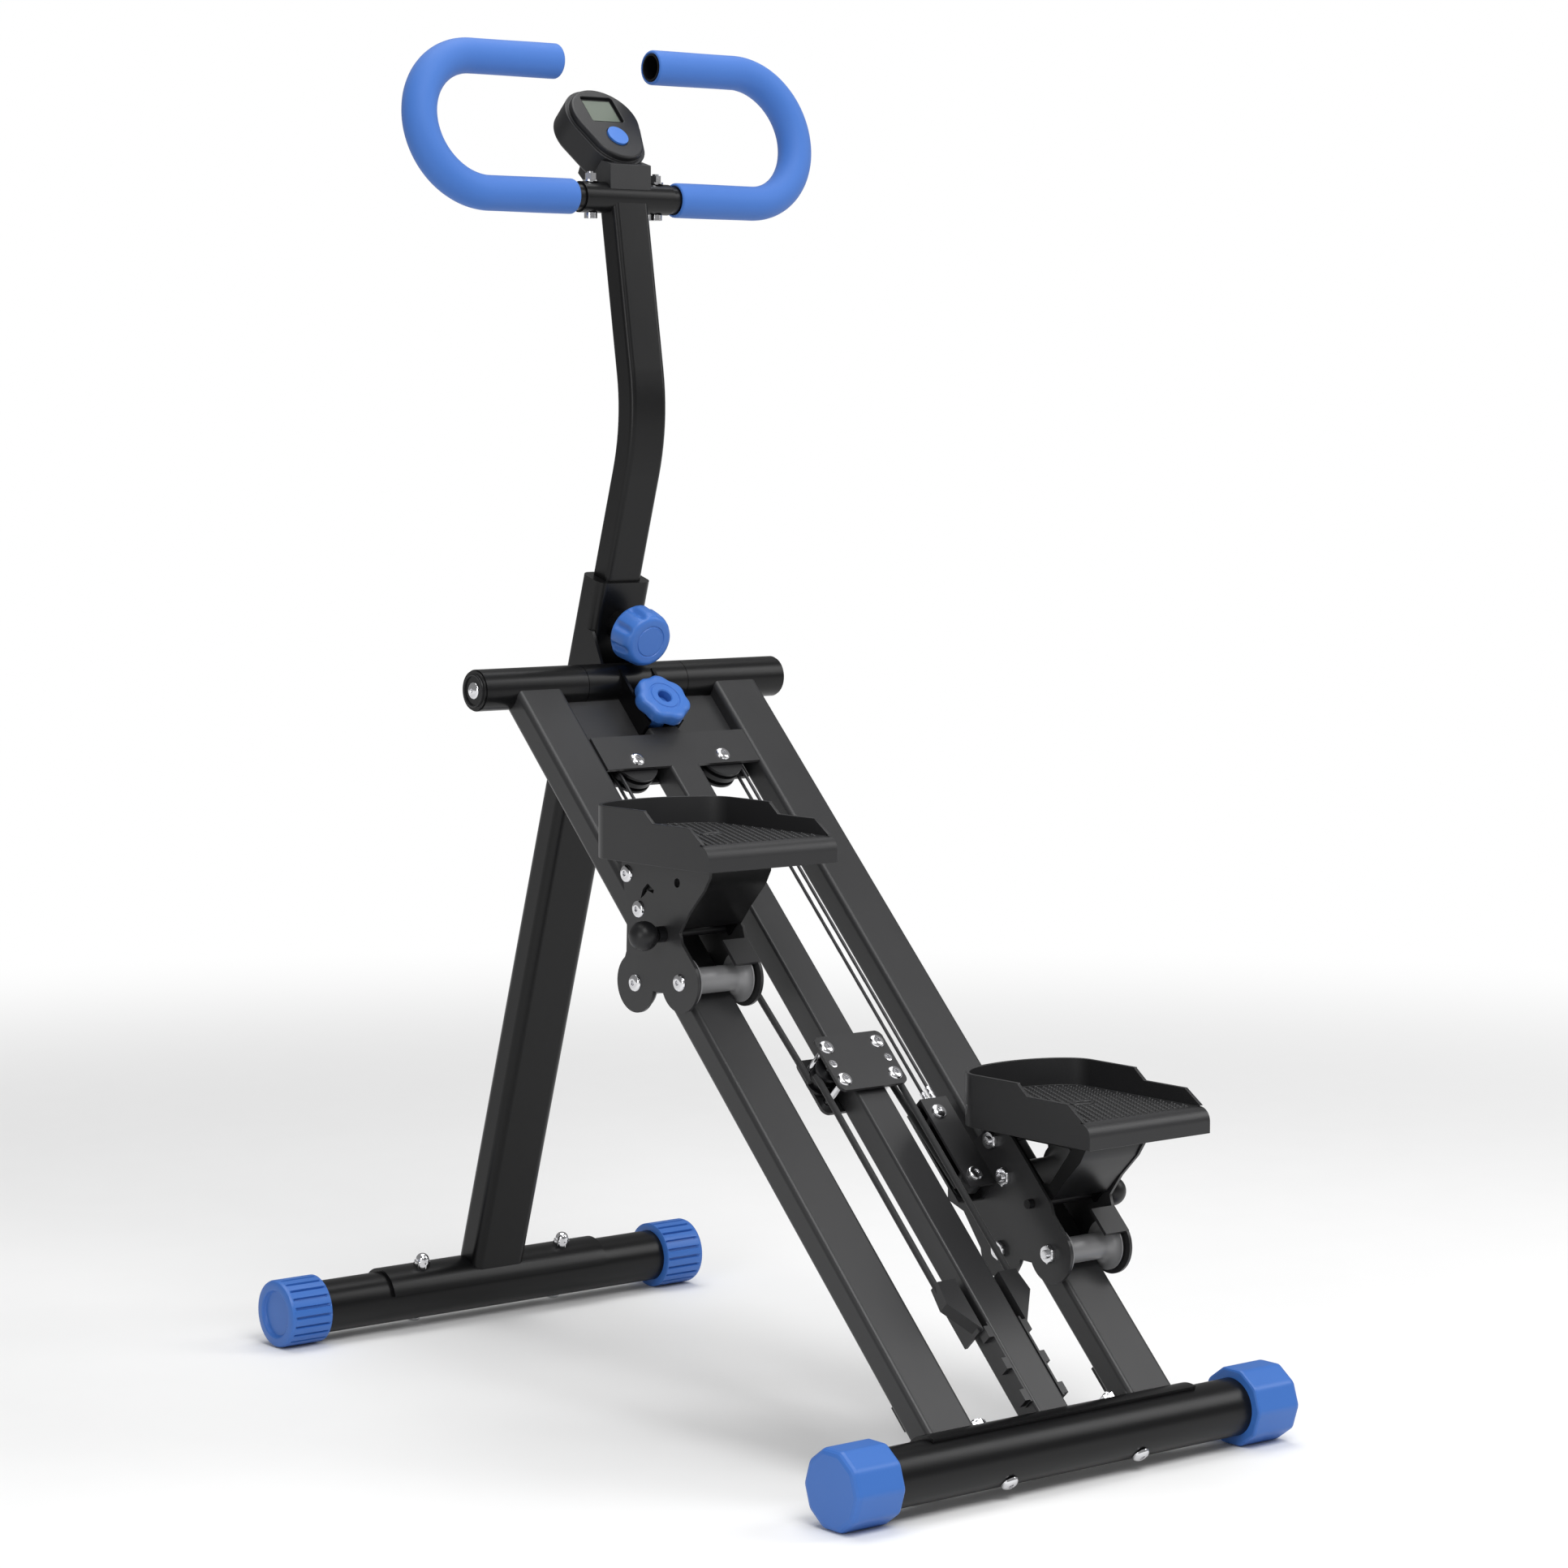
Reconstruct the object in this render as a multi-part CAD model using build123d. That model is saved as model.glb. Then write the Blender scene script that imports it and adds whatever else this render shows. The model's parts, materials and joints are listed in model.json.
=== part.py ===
from build123d import *
import math
import os

# A folding climbing stepper. Millimetres, +Z up, X across, the user stands on the -Y side.
# The origin is on the floor, in the middle of the footprint.

# ---- floor and frame ----
base_tube_d, base_tube_wall = 50.0, 2.0
front_half_w, rear_half_w = 247.5, 244.0          # middle of the machine to the outer face of a cap
front_cap_flats, front_cap_len, front_cap_sides = 66.0, 50.0, 10
rear_cap_d, rear_cap_len, rear_cap_flutes = 64.0, 45.0, 16
cap_face, cap_gap = 3.0, 0.15                     # end wall of a cap, play between cap and tube
rail_len, rail_angle = 846.0, 45.1                # front base axis to pivot axis, slope from the floor
rail_w, rail_d, rail_r, rail_wall, rail_x = 50.0, 26.0, 5.0, 2.0, 112.0
pivot_d, pivot_wall, pivot_half, pivot_mid_half = 38.0, 2.0, 170.0, 56.5
pivot_gap, pivot_play = 0.6, 0.05
axle_wall, plug_rim = 3.0, 2.0
saddle_t, saddle_half, saddle_arc = 3.5, 147.0, 124.0
sheet_t = 3.0                                     # pressed plates of the frame
rear_reach = 831.0                                # front base axis to rear base axis
rear_saddle_half = 126.0
base_bolt_d, front_bolt_x, rear_bolt_x = 8.0, 73.5, 83.0

# ---- posts and handle ----
post_w, post_d, post_r, post_wall, post_above, post_gap = 60.0, 33.0, 9.0, 1.5, 88.5, 8.5
mast_w, mast_d, mast_r, mast_wall = 40.0, 25.0, 5.0, 1.5
sleeve_len, sleeve_rim, slide_gap = 90.0, 4.0, 0.2
mast_inside, mast_bend_up, mast_bend_r, height_travel = 240.0, 149.0, 200.0, 150.0
cross_tube_d, cross_tube_half, cross_tube_wall = 28.4, 50.0, 1.5
cross_back, cross_up = 32.5, 205.5                # cross tube from the bend of the mast
loop_d, loop_wall, loop_inner = 25.0, 1.5, 20.0
loop_rise, loop_tilt, loop_outer, loop_top_inner = 127.0, 13.5, 213.0, 54.0
grip_d, grip_inner = 32.0, 58.0
handle_bolt_x, handle_bolt_d = 37.0, 6.0
height_knob_down, boss_d, boss_len = 40.0, 28.0, 22.0
height_knob_d, height_knob_len, height_pin_d = 55.0, 28.0, 10.0
lock_knob_d, lock_knob_len, lock_stud_d, lock_down = 54.0, 14.0, 8.0, 47.0
lock_bracket_w, lock_bracket_h, lock_bracket_len, lock_gap = 40.0, 20.0, 65.0, 0.3

# ---- computer ----
computer_back, computer_up, computer_tilt = 20.0, 69.5, 42.5
face_top_r, face_low_r, face_h = 39.0, 31.0, 96.0
body_depth, bezel_depth, bezel_inset = 28.0, 6.0, 4.0
window_w, window_h, window_v, window_depth, screen_t = 36.0, 32.0, 18.0, 4.0, 1.5
screen_w, screen_h = 31.0, 26.0
button_w, button_h, button_v, button_up, button_travel = 20.5, 22.0, -17.0, 1.6, 1.2
bracket_w, cross_r_seat = 46.0, 12.0

# ---- carriages, in the rail's own frame: x across, s up the rail, h out from it ----
left_s, right_s = 485.0, 163.0                    # lower roller axle of each carriage from the front base
plate_t, plate_in = 3.0, 33.0                     # carriage plate, its inner face from the rail's middle
roller_waist_r, roller_rim_r, roller_half, roller_flat, roller_lip = 11.5, 22.0, 27.8, 19.5, 1.2
roller_gap, axle_d, bore_play = 0.35, 8.0, 0.05
rear_roller_s = 40.0                              # rear roller above the front one, along the rail
lobe_r, bridge_low = 26.0, -12.0
guard_s0, guard_s1, guard_h, guard_w = -5.0, 22.0, 26.0, 24.0    # guard over the lower roller, from its axle
deck_z, deck_gap = 104.0, 0.5                     # underside of the pedal above the lower axle, gap to the plates
upper_bolts = [(75.0, 88.0), (58.0, 58.5)]        # y, z of the two upper bolts from the lower axle
pin_y, pin_z, pin_d, pin_out = 23.0, 40.0, 8.0, 6.0
ball_d, ball_out = 26.0, 21.0
wing_t, wing_gap = 2.5, 0.5                       # sheet of the pedal bracket, gap from wing to plate
pedal_half_w, pedal_heel, pedal_side_end, pedal_toe = 70.0, -85.0, 62.0, 40.0
pedal_wall, pedal_floor, pedal_toe_h, pedal_mid_h, pedal_heel_h = 3.5, 22.0, 46.0, 36.0, 20.0
pedal_lip_r, pedal_rise = 12.0, (-57.0, -7.0, 5.0)    # rounding of the heel lip; y of the steps of the side walls
hitch_x0, hitch_s0, hitch_s1, hitch_half = 46.0, 85.0, 180.0, 12.5
hitch_t, hitch_pulley_x, hitch_pulley_s, hitch_screw_s = 2.5, 58.0, 97.0, 165.0
hitch_pulley_r, hitch_groove_r, hitch_pulley_half = 11.0, 6.0, 9.5

# ---- cable and resistance ----
cross_plate_down, cross_plate_h = 93.0, 38.0       # middle of the cross plate below the pivot, its width
lock_plate_down, lock_plate_h = 66.0, 46.0
top_pulley_x, top_pulley_down, top_pulley_r, groove_r = 49.0, 102.0, 22.0, 18.5
pulley_half, groove_h, groove_w, groove_play = 9.0, 4.5, 4.0, 0.35
cable_d = 3.0
centre_w, centre_wall = 34.0, 2.0
rack_t, tooth_t, rack_s, tooth_len = 2.0, 5.0, (36.0, 116.0), 11.0
tooth_places, rack_low = (43.0, 75.0, 107.0), 3.0
block_s, block_w, block_h, block_front = 386.5, 76.0, 58.0, 20.0
block_pulley_x, block_screw_x, block_screw_ds, block_pulley_r, block_groove_r = 31.0, 28.5, 17.5, 12.0, 8.0
block_pulley_half, block_groove_h, cord_d = 11.0, 5.0, 6.0
anchor_s0, anchor_s1, anchor_reach, anchor_gap = 110.0, 162.0, 47.0, 0.5
stop_s, stop_len, stop_h, wedge_len = 62.0, 24.0, 12.0, 26.0

# ---- worked-out places ----
front_z = front_cap_flats / 2
rear_z = rear_cap_d / 2
front_cap_r = front_cap_flats / 2 / math.cos(math.pi / front_cap_sides)
front_y = (front_cap_r - rear_reach - rear_cap_d / 2) / 2
rear_y = front_y + rear_reach
slope = math.radians(rail_angle)
pivot_y = front_y + rail_len * math.cos(slope)
pivot_z = front_z + rail_len * math.sin(slope)
post_offset = post_d / 2 + post_gap + pivot_d / 2
reach_to_pivot = math.hypot(rear_y - pivot_y, pivot_z - rear_z)
lean = math.atan2(rear_y - pivot_y, pivot_z - rear_z) - math.asin(post_offset / reach_to_pivot)
foot_to_pivot = math.sqrt(reach_to_pivot**2 - post_offset**2)
post_top = foot_to_pivot + post_above
saddle_r = base_tube_d / 2 + saddle_t
pivot_r = pivot_d / 2
cross_plate_s = rail_len - cross_plate_down
lock_plate_s0 = rail_len - lock_plate_down
lock_plate_s1 = lock_plate_s0 + lock_plate_h
top_pulley_s = rail_len - top_pulley_down

rail_frame = Plane(origin=(0, front_y, front_z), x_dir=(1, 0, 0),
                   z_dir=(0, -math.sin(slope), math.cos(slope))).location
post_frame = Plane(origin=(0, rear_y, rear_z), x_dir=(1, 0, 0),
                   z_dir=(0, -math.cos(lean), -math.sin(lean))).location
side_plane = Plane(origin=(0, 0, 0), x_dir=(0, 1, 0), z_dir=(1, 0, 0))   # sketch x is Y, sketch y is Z
along_y = Plane(origin=(0, 0, 0), x_dir=(1, 0, 0), z_dir=(0, 1, 0))

parts = {}


def rod(radius, x0, x1, y=0.0, z=0.0):
    """Round bar along X."""
    return Pos((x0 + x1) / 2, y, z) * Rot(0, 90, 0) * Cylinder(radius, x1 - x0)


def pipe(outer_r, inner_r, x0, x1, y=0.0, z=0.0):
    return rod(outer_r, x0, x1, y, z) - rod(inner_r, x0 - 1, x1 + 1, y, z)


def box(x0, x1, y0, y1, z0, z1):
    return Pos((x0 + x1) / 2, (y0 + y1) / 2, (z0 + z1) / 2) * Box(x1 - x0, y1 - y0, z1 - z0)


def bar(width, depth, corner, y0, y1):
    """Solid rounded bar along Y."""
    return Pos(0, y0, 0) * extrude(along_y * RectangleRounded(width, depth, corner), y1 - y0)


def tube(width, depth, corner, wall, y0, y1):
    inner = bar(width - 2 * wall, depth - 2 * wall, corner - wall, y0 - 1, y1 + 1)
    return bar(width, depth, corner, y0, y1) - inner


def post_bar(radius, y, z0, z1, x=0.0):
    """Round bar along the local Z of a frame, at x and y."""
    return Pos(x, y, (z0 + z1) / 2) * Cylinder(radius, z1 - z0)


def along(radius, y0, y1, x=0.0, z=0.0):
    """Round bar along Y."""
    return Pos(x, (y0 + y1) / 2, z) * Rot(90, 0, 0) * Cylinder(radius, y1 - y0)


def save(name, *shapes):
    solids = [solid for shape in shapes for solid in shape.solids()]
    parts[name] = solids[0] if len(solids) == 1 else Compound(children=solids)


def mirrored(shape):
    return mirror(shape, about=Plane.YZ)


# ---- base tubes, caps and saddles ----
def end_cap(outline, length, side, half):
    """Cup over the tube's end, its open side towards the middle."""
    cup = extrude(Plane.YZ * outline, length)
    hollow = rod(base_tube_d / 2 + cap_gap, -1, length - cap_face)
    cup = Pos(half - length, 0, 0) * (cup - hollow)
    return cup if side > 0 else mirrored(cup)


def bases():
    tube_half = front_half_w - cap_face - cap_gap
    inner_r = base_tube_d / 2 - base_tube_wall
    front = pipe(base_tube_d / 2, inner_r, -tube_half, tube_half)
    rear_tube_half = rear_half_w - cap_face - cap_gap
    rear = pipe(base_tube_d / 2, inner_r, -rear_tube_half, rear_tube_half)
    # the bolts pass through along the rail, and at the rear along the post
    for x in (-front_bolt_x, front_bolt_x):
        front -= rail_axis_local(base_bolt_d / 2 + bore_play, -base_tube_d, base_tube_d, x)
    for x in (-rear_bolt_x, rear_bolt_x):
        rear -= post_axis_local(base_bolt_d / 2 + bore_play, -base_tube_d, base_tube_d, x)
    save("front_base_tube", Pos(0, front_y, front_z) * front)
    save("rear_base_tube", Pos(0, rear_y, rear_z) * rear)

    decagon = RegularPolygon(front_cap_r, front_cap_sides, rotation=0)
    caps = [end_cap(decagon, front_cap_len, side, front_half_w) for side in (-1, 1)]
    save("front_end_caps", *[Pos(0, front_y, front_z) * cap for cap in caps])
    fluted = Circle(rear_cap_d / 2)
    flute_r = math.pi * rear_cap_d / rear_cap_flutes / 4
    flutes = PolarLocations(rear_cap_d / 2 + flute_r / 2, rear_cap_flutes, start_angle=180 / rear_cap_flutes)
    fluted -= flutes * Circle(flute_r)
    caps = [end_cap(fluted, rear_cap_len, side, rear_half_w) for side in (-1, 1)]
    save("rear_end_caps", *[Pos(0, rear_y, rear_z) * cap for cap in caps])


def rail_axis_local(radius, s0, s1, x):
    """Bar along the rail's direction through the front base axis, with that axis as origin."""
    return Rot(rail_angle, 0, 0) * along(radius, s0, s1, x)


def post_axis_local(radius, s0, s1, x):
    return Rot(90 + math.degrees(lean), 0, 0) * along(radius, s0, s1, x)


def saddle(half, centre_angle):
    """Curved plate over a base tube; the angle is measured from +Y."""
    ring = pipe(saddle_r, base_tube_d / 2, -half, half)
    reach = 3 * saddle_r
    a0 = math.radians(centre_angle - saddle_arc / 2)
    a1 = math.radians(centre_angle + saddle_arc / 2)
    am = math.radians(centre_angle)
    corners = [(0, 0)] + [(reach * math.cos(a), reach * math.sin(a)) for a in (a0, am, a1)]
    sector = extrude(side_plane * make_face(Polyline(*corners, close=True)), 2 * half)
    return ring & (Pos(-half, 0, 0) * sector)


def bolt(s_head, s_end, x, nut):
    """Dome-headed bolt along Y with a nut at its far end."""
    head = Pos(x, s_head, 0) * Rot(90, 0, 0) * scale(Sphere(base_bolt_d), by=(1, 1, 0.55))
    head &= box(x - 20, x + 20, s_head - 20, s_head, -20, 20)
    shank = along(base_bolt_d / 2, s_head - 1, s_end, x)
    hexagon = Pos(0, s_end - nut, 0) * extrude(along_y * RegularPolygon(base_bolt_d * 0.92, 6), nut)
    return head + shank + Pos(x, 0, 0) * hexagon


def base_bolts():
    tube_r, nut = base_tube_d / 2, 7.0
    span = saddle_r + nut
    front = [Pos(0, front_y, front_z) * Rot(rail_angle, 0, 0) * bolt(-tube_r, span, x, nut)
             for x in (-front_bolt_x, front_bolt_x)]
    save("front_base_bolts", *front)
    rear = [Pos(0, rear_y, rear_z) * Rot(90 + math.degrees(lean), 0, 0) * bolt(-tube_r, span, x, nut)
            for x in (-rear_bolt_x, rear_bolt_x)]
    save("rear_base_bolts", *rear)


# ---- front frame: rails, pivot, plates ----
def front_frame():
    front_saddle = saddle(saddle_half, rail_angle)
    for x in (-front_bolt_x, front_bolt_x):
        front_saddle -= rail_axis_local(base_bolt_d / 2 + bore_play, 0, 2 * saddle_r, x)
    save("front_saddle", Pos(0, front_y, front_z) * front_saddle)

    trim = rod(saddle_r, -saddle_half, saddle_half) + rod(pivot_r, -pivot_half, pivot_half, rail_len)
    rail = tube(rail_w, rail_d, rail_r, rail_wall, 0, rail_len) - trim.moved(Location((-rail_x, 0, 0)))
    rail = Pos(rail_x, 0, 0) * rail
    for name, shape in (("left_rail", mirrored(rail)), ("right_rail", rail)):
        save(name, rail_frame * max(shape.solids(), key=lambda s: s.volume))

    inner = pivot_r - pivot_wall
    ends = [pipe(pivot_r, inner, x0, x1, rail_len) for x0, x1 in
            ((-pivot_half, -pivot_mid_half - pivot_gap), (pivot_mid_half + pivot_gap, pivot_half))]
    save("pivot_tube_ends", *[rail_frame * end for end in ends])
    axle_half = pivot_half - 2 * plug_rim
    axle = pipe(inner - pivot_play, inner - axle_wall, -axle_half, axle_half, rail_len)
    plug = rod(pivot_r - 1, pivot_half, pivot_half + plug_rim, rail_len)
    plug += rod(inner - axle_wall - pivot_play, axle_half - 8, pivot_half, rail_len)
    save("pivot_axle", *[rail_frame * one for one in (axle, plug, mirrored(plug))])

    gap_half = rail_x - rail_w / 2
    front_face = rail_d / 2
    s0, s1 = cross_plate_s - cross_plate_h / 2, cross_plate_s + cross_plate_h / 2
    front_plate = box(-gap_half, gap_half, s0, s1, front_face - sheet_t, front_face)
    back_plate = box(-gap_half, gap_half, s0, s1, -front_face, -front_face + sheet_t)
    lock_plate = box(-gap_half, gap_half, lock_plate_s0, lock_plate_s1, -sheet_t, 0)
    lock_plate -= post_bar(lock_stud_d / 2 + 1, rail_len - lock_down, -50, 50)
    screw_r = axle_d / 2 + bore_play
    for x in (-top_pulley_x, top_pulley_x):
        front_plate -= post_bar(screw_r, top_pulley_s, -50, 50, x)
        back_plate -= post_bar(screw_r, top_pulley_s, -50, 50, x)
    save("cross_plates", *[rail_frame * plate for plate in (front_plate, back_plate, lock_plate)])

    centre = tube(centre_w, rail_d, 3.0, centre_wall, 0, lock_plate_s0)
    centre -= rod(saddle_r, -centre_w, centre_w)
    centre = max(centre.solids(), key=lambda s: s.volume)
    room = box(-centre_w, centre_w, s0 - 0.01, s1 + 0.01, front_face - sheet_t, 50)
    room += box(-centre_w, centre_w, s0 - 0.01, s1 + 0.01, -50, -front_face + sheet_t)
    centre -= room
    cable_s = top_pulley_s + groove_r + cable_d / 2
    centre -= box(-centre_w, centre_w, cable_s - cable_d, cable_s + cable_d, -groove_h - cable_d, groove_h + cable_d)
    for side in (-1, 1):
        x_in, x_out = centre_w / 2, centre_w / 2 + rack_t
        strip = box(x_in, x_out, rack_s[0], rack_s[1], rack_low, front_face)
        for s in tooth_places:
            strip += box(x_out, x_out + tooth_t, s - tooth_len / 2, s + tooth_len / 2, rack_low, front_face)
        centre += strip if side > 0 else mirrored(strip)
    save("centre_tube", rail_frame * centre)

    stops = []
    for x in (-rail_x, rail_x):
        s_top = stop_s + stop_len / 2
        block = box(x - 13, x + 13, stop_s - stop_len / 2, s_top, -front_face - stop_h, -front_face)
        wedge = Polyline((s_top, -front_face), (s_top + wedge_len, -front_face), (s_top, -front_face - 7), close=True)
        stops += [block + Pos(x - 10, 0, 0) * extrude(side_plane * make_face(wedge), 20)]
    save("rail_stops", *[rail_frame * stop for stop in stops])


# ---- pulleys, cables and the resistance block ----
def pulley(rim_r, low_r, half, grooves, width):
    """Turned along Z: a disc with a round groove at each height in grooves."""
    body = Cylinder(rim_r, 2 * half) - Cylinder(axle_d / 2 + bore_play, 4 * half)
    for h in grooves:
        ring = Cylinder(rim_r + 1, width) - Cylinder(low_r, 2 * width)
        body -= Pos(0, 0, h) * ring
    return body


def screw(x, s, h_head, h_end, radius):
    """Button-headed screw along local Z, its head at the top."""
    head = Pos(x, s, h_head) * Cylinder(radius * 1.7, 2.6, align=(Align.CENTER, Align.CENTER, Align.MIN))
    head = fillet(head.faces().sort_by(Axis.Z)[-1].edges(), 1.2)
    return head + post_bar(radius, s, h_end, h_head + 0.5, x)


def drive():
    front_face = rail_d / 2
    for name, side in (("left", -1), ("right", 1)):
        wheel = pulley(top_pulley_r, groove_r - groove_play, pulley_half, (-groove_h, groove_h), groove_w)
        save(f"{name}_top_pulley", rail_frame * Pos(side * top_pulley_x, top_pulley_s, 0) * wheel)

    cables = []
    x, s = top_pulley_x + groove_r + cable_d / 2, top_pulley_s + groove_r + cable_d / 2
    for h in (-groove_h, groove_h):
        path = FilletPolyline((-x, top_pulley_s - 4, h), (-x, s, h), (x, s, h), (x, top_pulley_s - 4, h),
                              radius=groove_r + cable_d / 2)
        ring = Plane(origin=path @ 0, z_dir=path % 0) * Circle(cable_d / 2)
        cables += [sweep(ring, path)]
    save("top_cable", *[rail_frame * cable for cable in cables])
    for name, side, start in (("left", -1, left_s), ("right", 1, right_s)):
        runs = [along(cable_d / 2, start + hitch_s1 - 4, top_pulley_s - 4, side * x, h)
                for h in (-groove_h, groove_h)]
        save(f"{name}_drive_cables", *[rail_frame * run for run in runs])
        x0 = block_pulley_x + block_groove_r + cord_d / 2
        x1 = hitch_pulley_x - hitch_groove_r - cord_d / 2
        slant = Line((side * x0, block_s, -block_groove_h), (side * x1, start + hitch_pulley_s, -block_groove_h))
        ring = Plane(origin=slant @ 0, z_dir=slant % 0) * Circle(cord_d / 2)
        save(f"{name}_cord", rail_frame * sweep(ring, slant))
        wheel = pulley(block_pulley_r, block_groove_r, block_pulley_half,
                       (-block_groove_h, block_groove_h), cord_d + 0.6)
        save(f"{name}_block_pulley", rail_frame * Pos(side * block_pulley_x, block_s, 0) * wheel)

    plates = []
    for low in (block_front - sheet_t, -front_face - sheet_t):
        plate = Pos(0, block_s, low) * extrude(RectangleRounded(block_w, block_h, 7), sheet_t)
        for x, s in block_places():
            plate -= post_bar(axle_d / 2 + bore_play, s, -60, 60, x)
        plates += [plate]
    # spacer that seats the front plate on the centre tube
    plates[0] += box(-centre_w / 2 + 1, centre_w / 2 - 1, block_s - 20, block_s + 20, front_face, block_front - sheet_t)
    save("block_plates", *[rail_frame * plate for plate in plates])

    screws = [screw(x, top_pulley_s, front_face, -front_face - 6, axle_d / 2) for x in (-top_pulley_x, top_pulley_x)]
    axles, corners = block_places()[:2], block_places()[2:]
    screws += [post_bar(axle_d / 2, s, -front_face - sheet_t, block_front, x) for x, s in axles]
    screws += [screw(x, s, block_front, -front_face - sheet_t - 5, axle_d / 2) for x, s in corners]
    save("frame_screws", *[rail_frame * one for one in screws])

    cords = []
    for side in (-1, 1):
        x = side * (block_pulley_x + block_groove_r + cord_d / 2)
        cords += [along(cord_d / 2, anchor_s1 - 12, block_s, x, block_groove_h)]
    save("anchor_cords", *[rail_frame * cord for cord in cords])
    save("resistance_anchor", rail_frame * anchor())


def block_places():
    """Screw places of the block; the two pulley axles are the first two."""
    places = [(x, block_s) for x in (-block_pulley_x, block_pulley_x)]
    return places + [(x, block_s + ds) for x in (-block_screw_x, block_screw_x)
                     for ds in (-block_screw_ds, block_screw_ds)]


def anchor():
    """Yoke that slides behind the centre tube, with a tapered ear on each side for the cords."""
    clear = centre_w / 2 + rack_t + tooth_t + anchor_gap
    back, wall = -rail_d / 2 - anchor_gap, 3.0
    yoke = box(-clear - wall, clear + wall, anchor_s0 + 12, anchor_s1, back - wall, back)
    for side in (-1, 1):
        x0, x1 = (clear, clear + wall) if side > 0 else (-clear - wall, -clear)
        cheek = box(x0, x1, anchor_s0, anchor_s1, back - wall, rail_d / 2 - 4)
        outline = Polyline((clear, anchor_s0), (anchor_reach, anchor_s0 + 30), (anchor_reach - 3, anchor_s1),
                           (clear, anchor_s1), close=True)
        ear = extrude(make_face(outline), 12)
        ear -= along(cord_d / 2 + 0.01, anchor_s1 - 12, anchor_s1 + 1,
                     block_pulley_x + block_groove_r + cord_d / 2, block_groove_h)
        yoke += cheek
        yoke += ear if side > 0 else mirrored(ear)
    return yoke


# ---- carriages ----
def world_at(s, h):
    """Y and Z of a point of the rail's own frame."""
    y = front_y + s * math.cos(slope) - h * math.sin(slope)
    z = front_z + s * math.sin(slope) + h * math.cos(slope)
    return y, z


def rear_roller_place():
    gap = rail_d + 2 * (roller_waist_r + roller_gap)
    y = rear_roller_s * math.cos(slope) + gap * math.sin(slope)
    z = rear_roller_s * math.sin(slope) - gap * math.cos(slope)
    return y, z


def plate_outline(inner):
    """Side plate, y and z from the lower front axle: two roller lobes and a neck.

    The outer plate widens to a deck under the pedal. The inner one follows the rail instead, and
    has an ear towards the back, where the cable hitch and the stop are.
    """
    ry, rz = rear_roller_place()
    top = deck_z - deck_gap
    deck = [(26, 70), (50, 94), (60, 97)] if inner else [(-14, 62), (-34, 82), (-42, 94), (-42, top), (70, top)]
    edge = [rail_turn(guard_s0, guard_h), rail_turn(guard_s1, guard_h), (0, 43), *deck, (83, 97), (79, 76), (75, 50),
            (76, 20), (ry + 24, rz)]
    shape = Circle(lobe_r) + Pos(ry, rz) * Circle(lobe_r)
    shape += make_face(Polyline((0, bridge_low), (-lobe_r * 0.6, 0), *edge, (ry, rz - 4), close=True))
    if inner:
        ear = [(60, 40), (72, 92), (83, 97), (100, 82), (133, 50), (133, 27), (112, 20), (ry + 10, rz - 23), (ry, rz)]
        shape += make_face(Polyline(*ear, close=True))
        shape -= Pos(120.6, 36) * Circle(5)
    return shape


def rail_turn(s, h):
    """Y and Z of a step given along and out from the rail."""
    return s * math.cos(slope) - h * math.sin(slope), s * math.sin(slope) + h * math.cos(slope)


def carriage(name, side, s):
    y0, z0 = world_at(s, rail_d / 2 + roller_waist_r + roller_gap)
    place = Pos(side * rail_x, y0, z0)
    ry, rz = rear_roller_place()
    bolt_r = axle_d / 2
    bolts = [(0.0, 0.0), (ry, rz)] + upper_bolts
    flip = (lambda shape: shape) if side > 0 else mirrored
    frame = Part()
    for x_in, inner in ((plate_in, False), (-plate_in - plate_t, True)):
        plate = Pos(x_in, 0, 0) * extrude(side_plane * plate_outline(inner), plate_t)
        if not inner:
            plate -= rod(4, 0, 60, 3, 86)
            slot = Polyline((55, 68), (52, 76), (45, 82), (36, 77), (37, 74), (45, 76), (49, 72), close=True)
            plate -= Pos(20, 0, 0) * extrude(side_plane * make_face(slot), 40)
        frame += plate
    # roller guard: a tab bent inwards from the plate on the right
    corners = [rail_turn(guard_s0, guard_h), rail_turn(guard_s1, guard_h),
               rail_turn(guard_s1, guard_h - plate_t), rail_turn(guard_s0, guard_h - plate_t)]
    guard = extrude(side_plane * make_face(Polyline(*corners, close=True)), guard_w + 0.5)
    frame += Pos(plate_in - guard_w if side > 0 else -plate_in - 0.5, 0, 0) * guard
    for y, z in bolts:
        frame -= rod(bolt_r + bore_play, -60, 60, y, z)
    frame -= rod(pin_d / 2 + bore_play, -60, 60, pin_y, pin_z)
    save(f"{name}_carriage_frame", place * flip(frame))

    axles = []
    for y, z in bolts:
        end = plate_in + plate_t
        one = rod(bolt_r, -end - 7, end + 1, y, z)
        one += rod(bolt_r * 1.75, end, end + 3, y, z)
        nut = extrude(Plane.YZ * RegularPolygon(bolt_r * 1.8, 6), 6)
        one += Pos(-end - 6, y, z) * nut
        axles += [one]
    save(f"{name}_carriage_bolts", *[place * flip(one) for one in axles])

    for which, y, z in (("lower", 0.0, 0.0), ("upper", *upper_bolts[1]), ("rear", ry, rz)):
        save(f"{name}_{which}_roller", place * Pos(0, y, z) * roller())

    save(f"{name}_pedal_bracket", place * pedal_bracket())
    save(f"{name}_pedal", place * pedal())
    save(f"{name}_pull_pin", place * flip(pull_pin()))
    along_rail = rail_frame * Pos(0, s, 0)
    save(f"{name}_cable_hitch", *[along_rail * flip(one) for one in [cable_hitch()] + hitch_screws()])
    wheel = pulley(hitch_pulley_r, hitch_groove_r, hitch_pulley_half, (-block_groove_h,), cord_d + 0.6)
    save(f"{name}_hitch_pulley", along_rail * flip(Pos(hitch_pulley_x, hitch_pulley_s, 0) * wheel))


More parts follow.
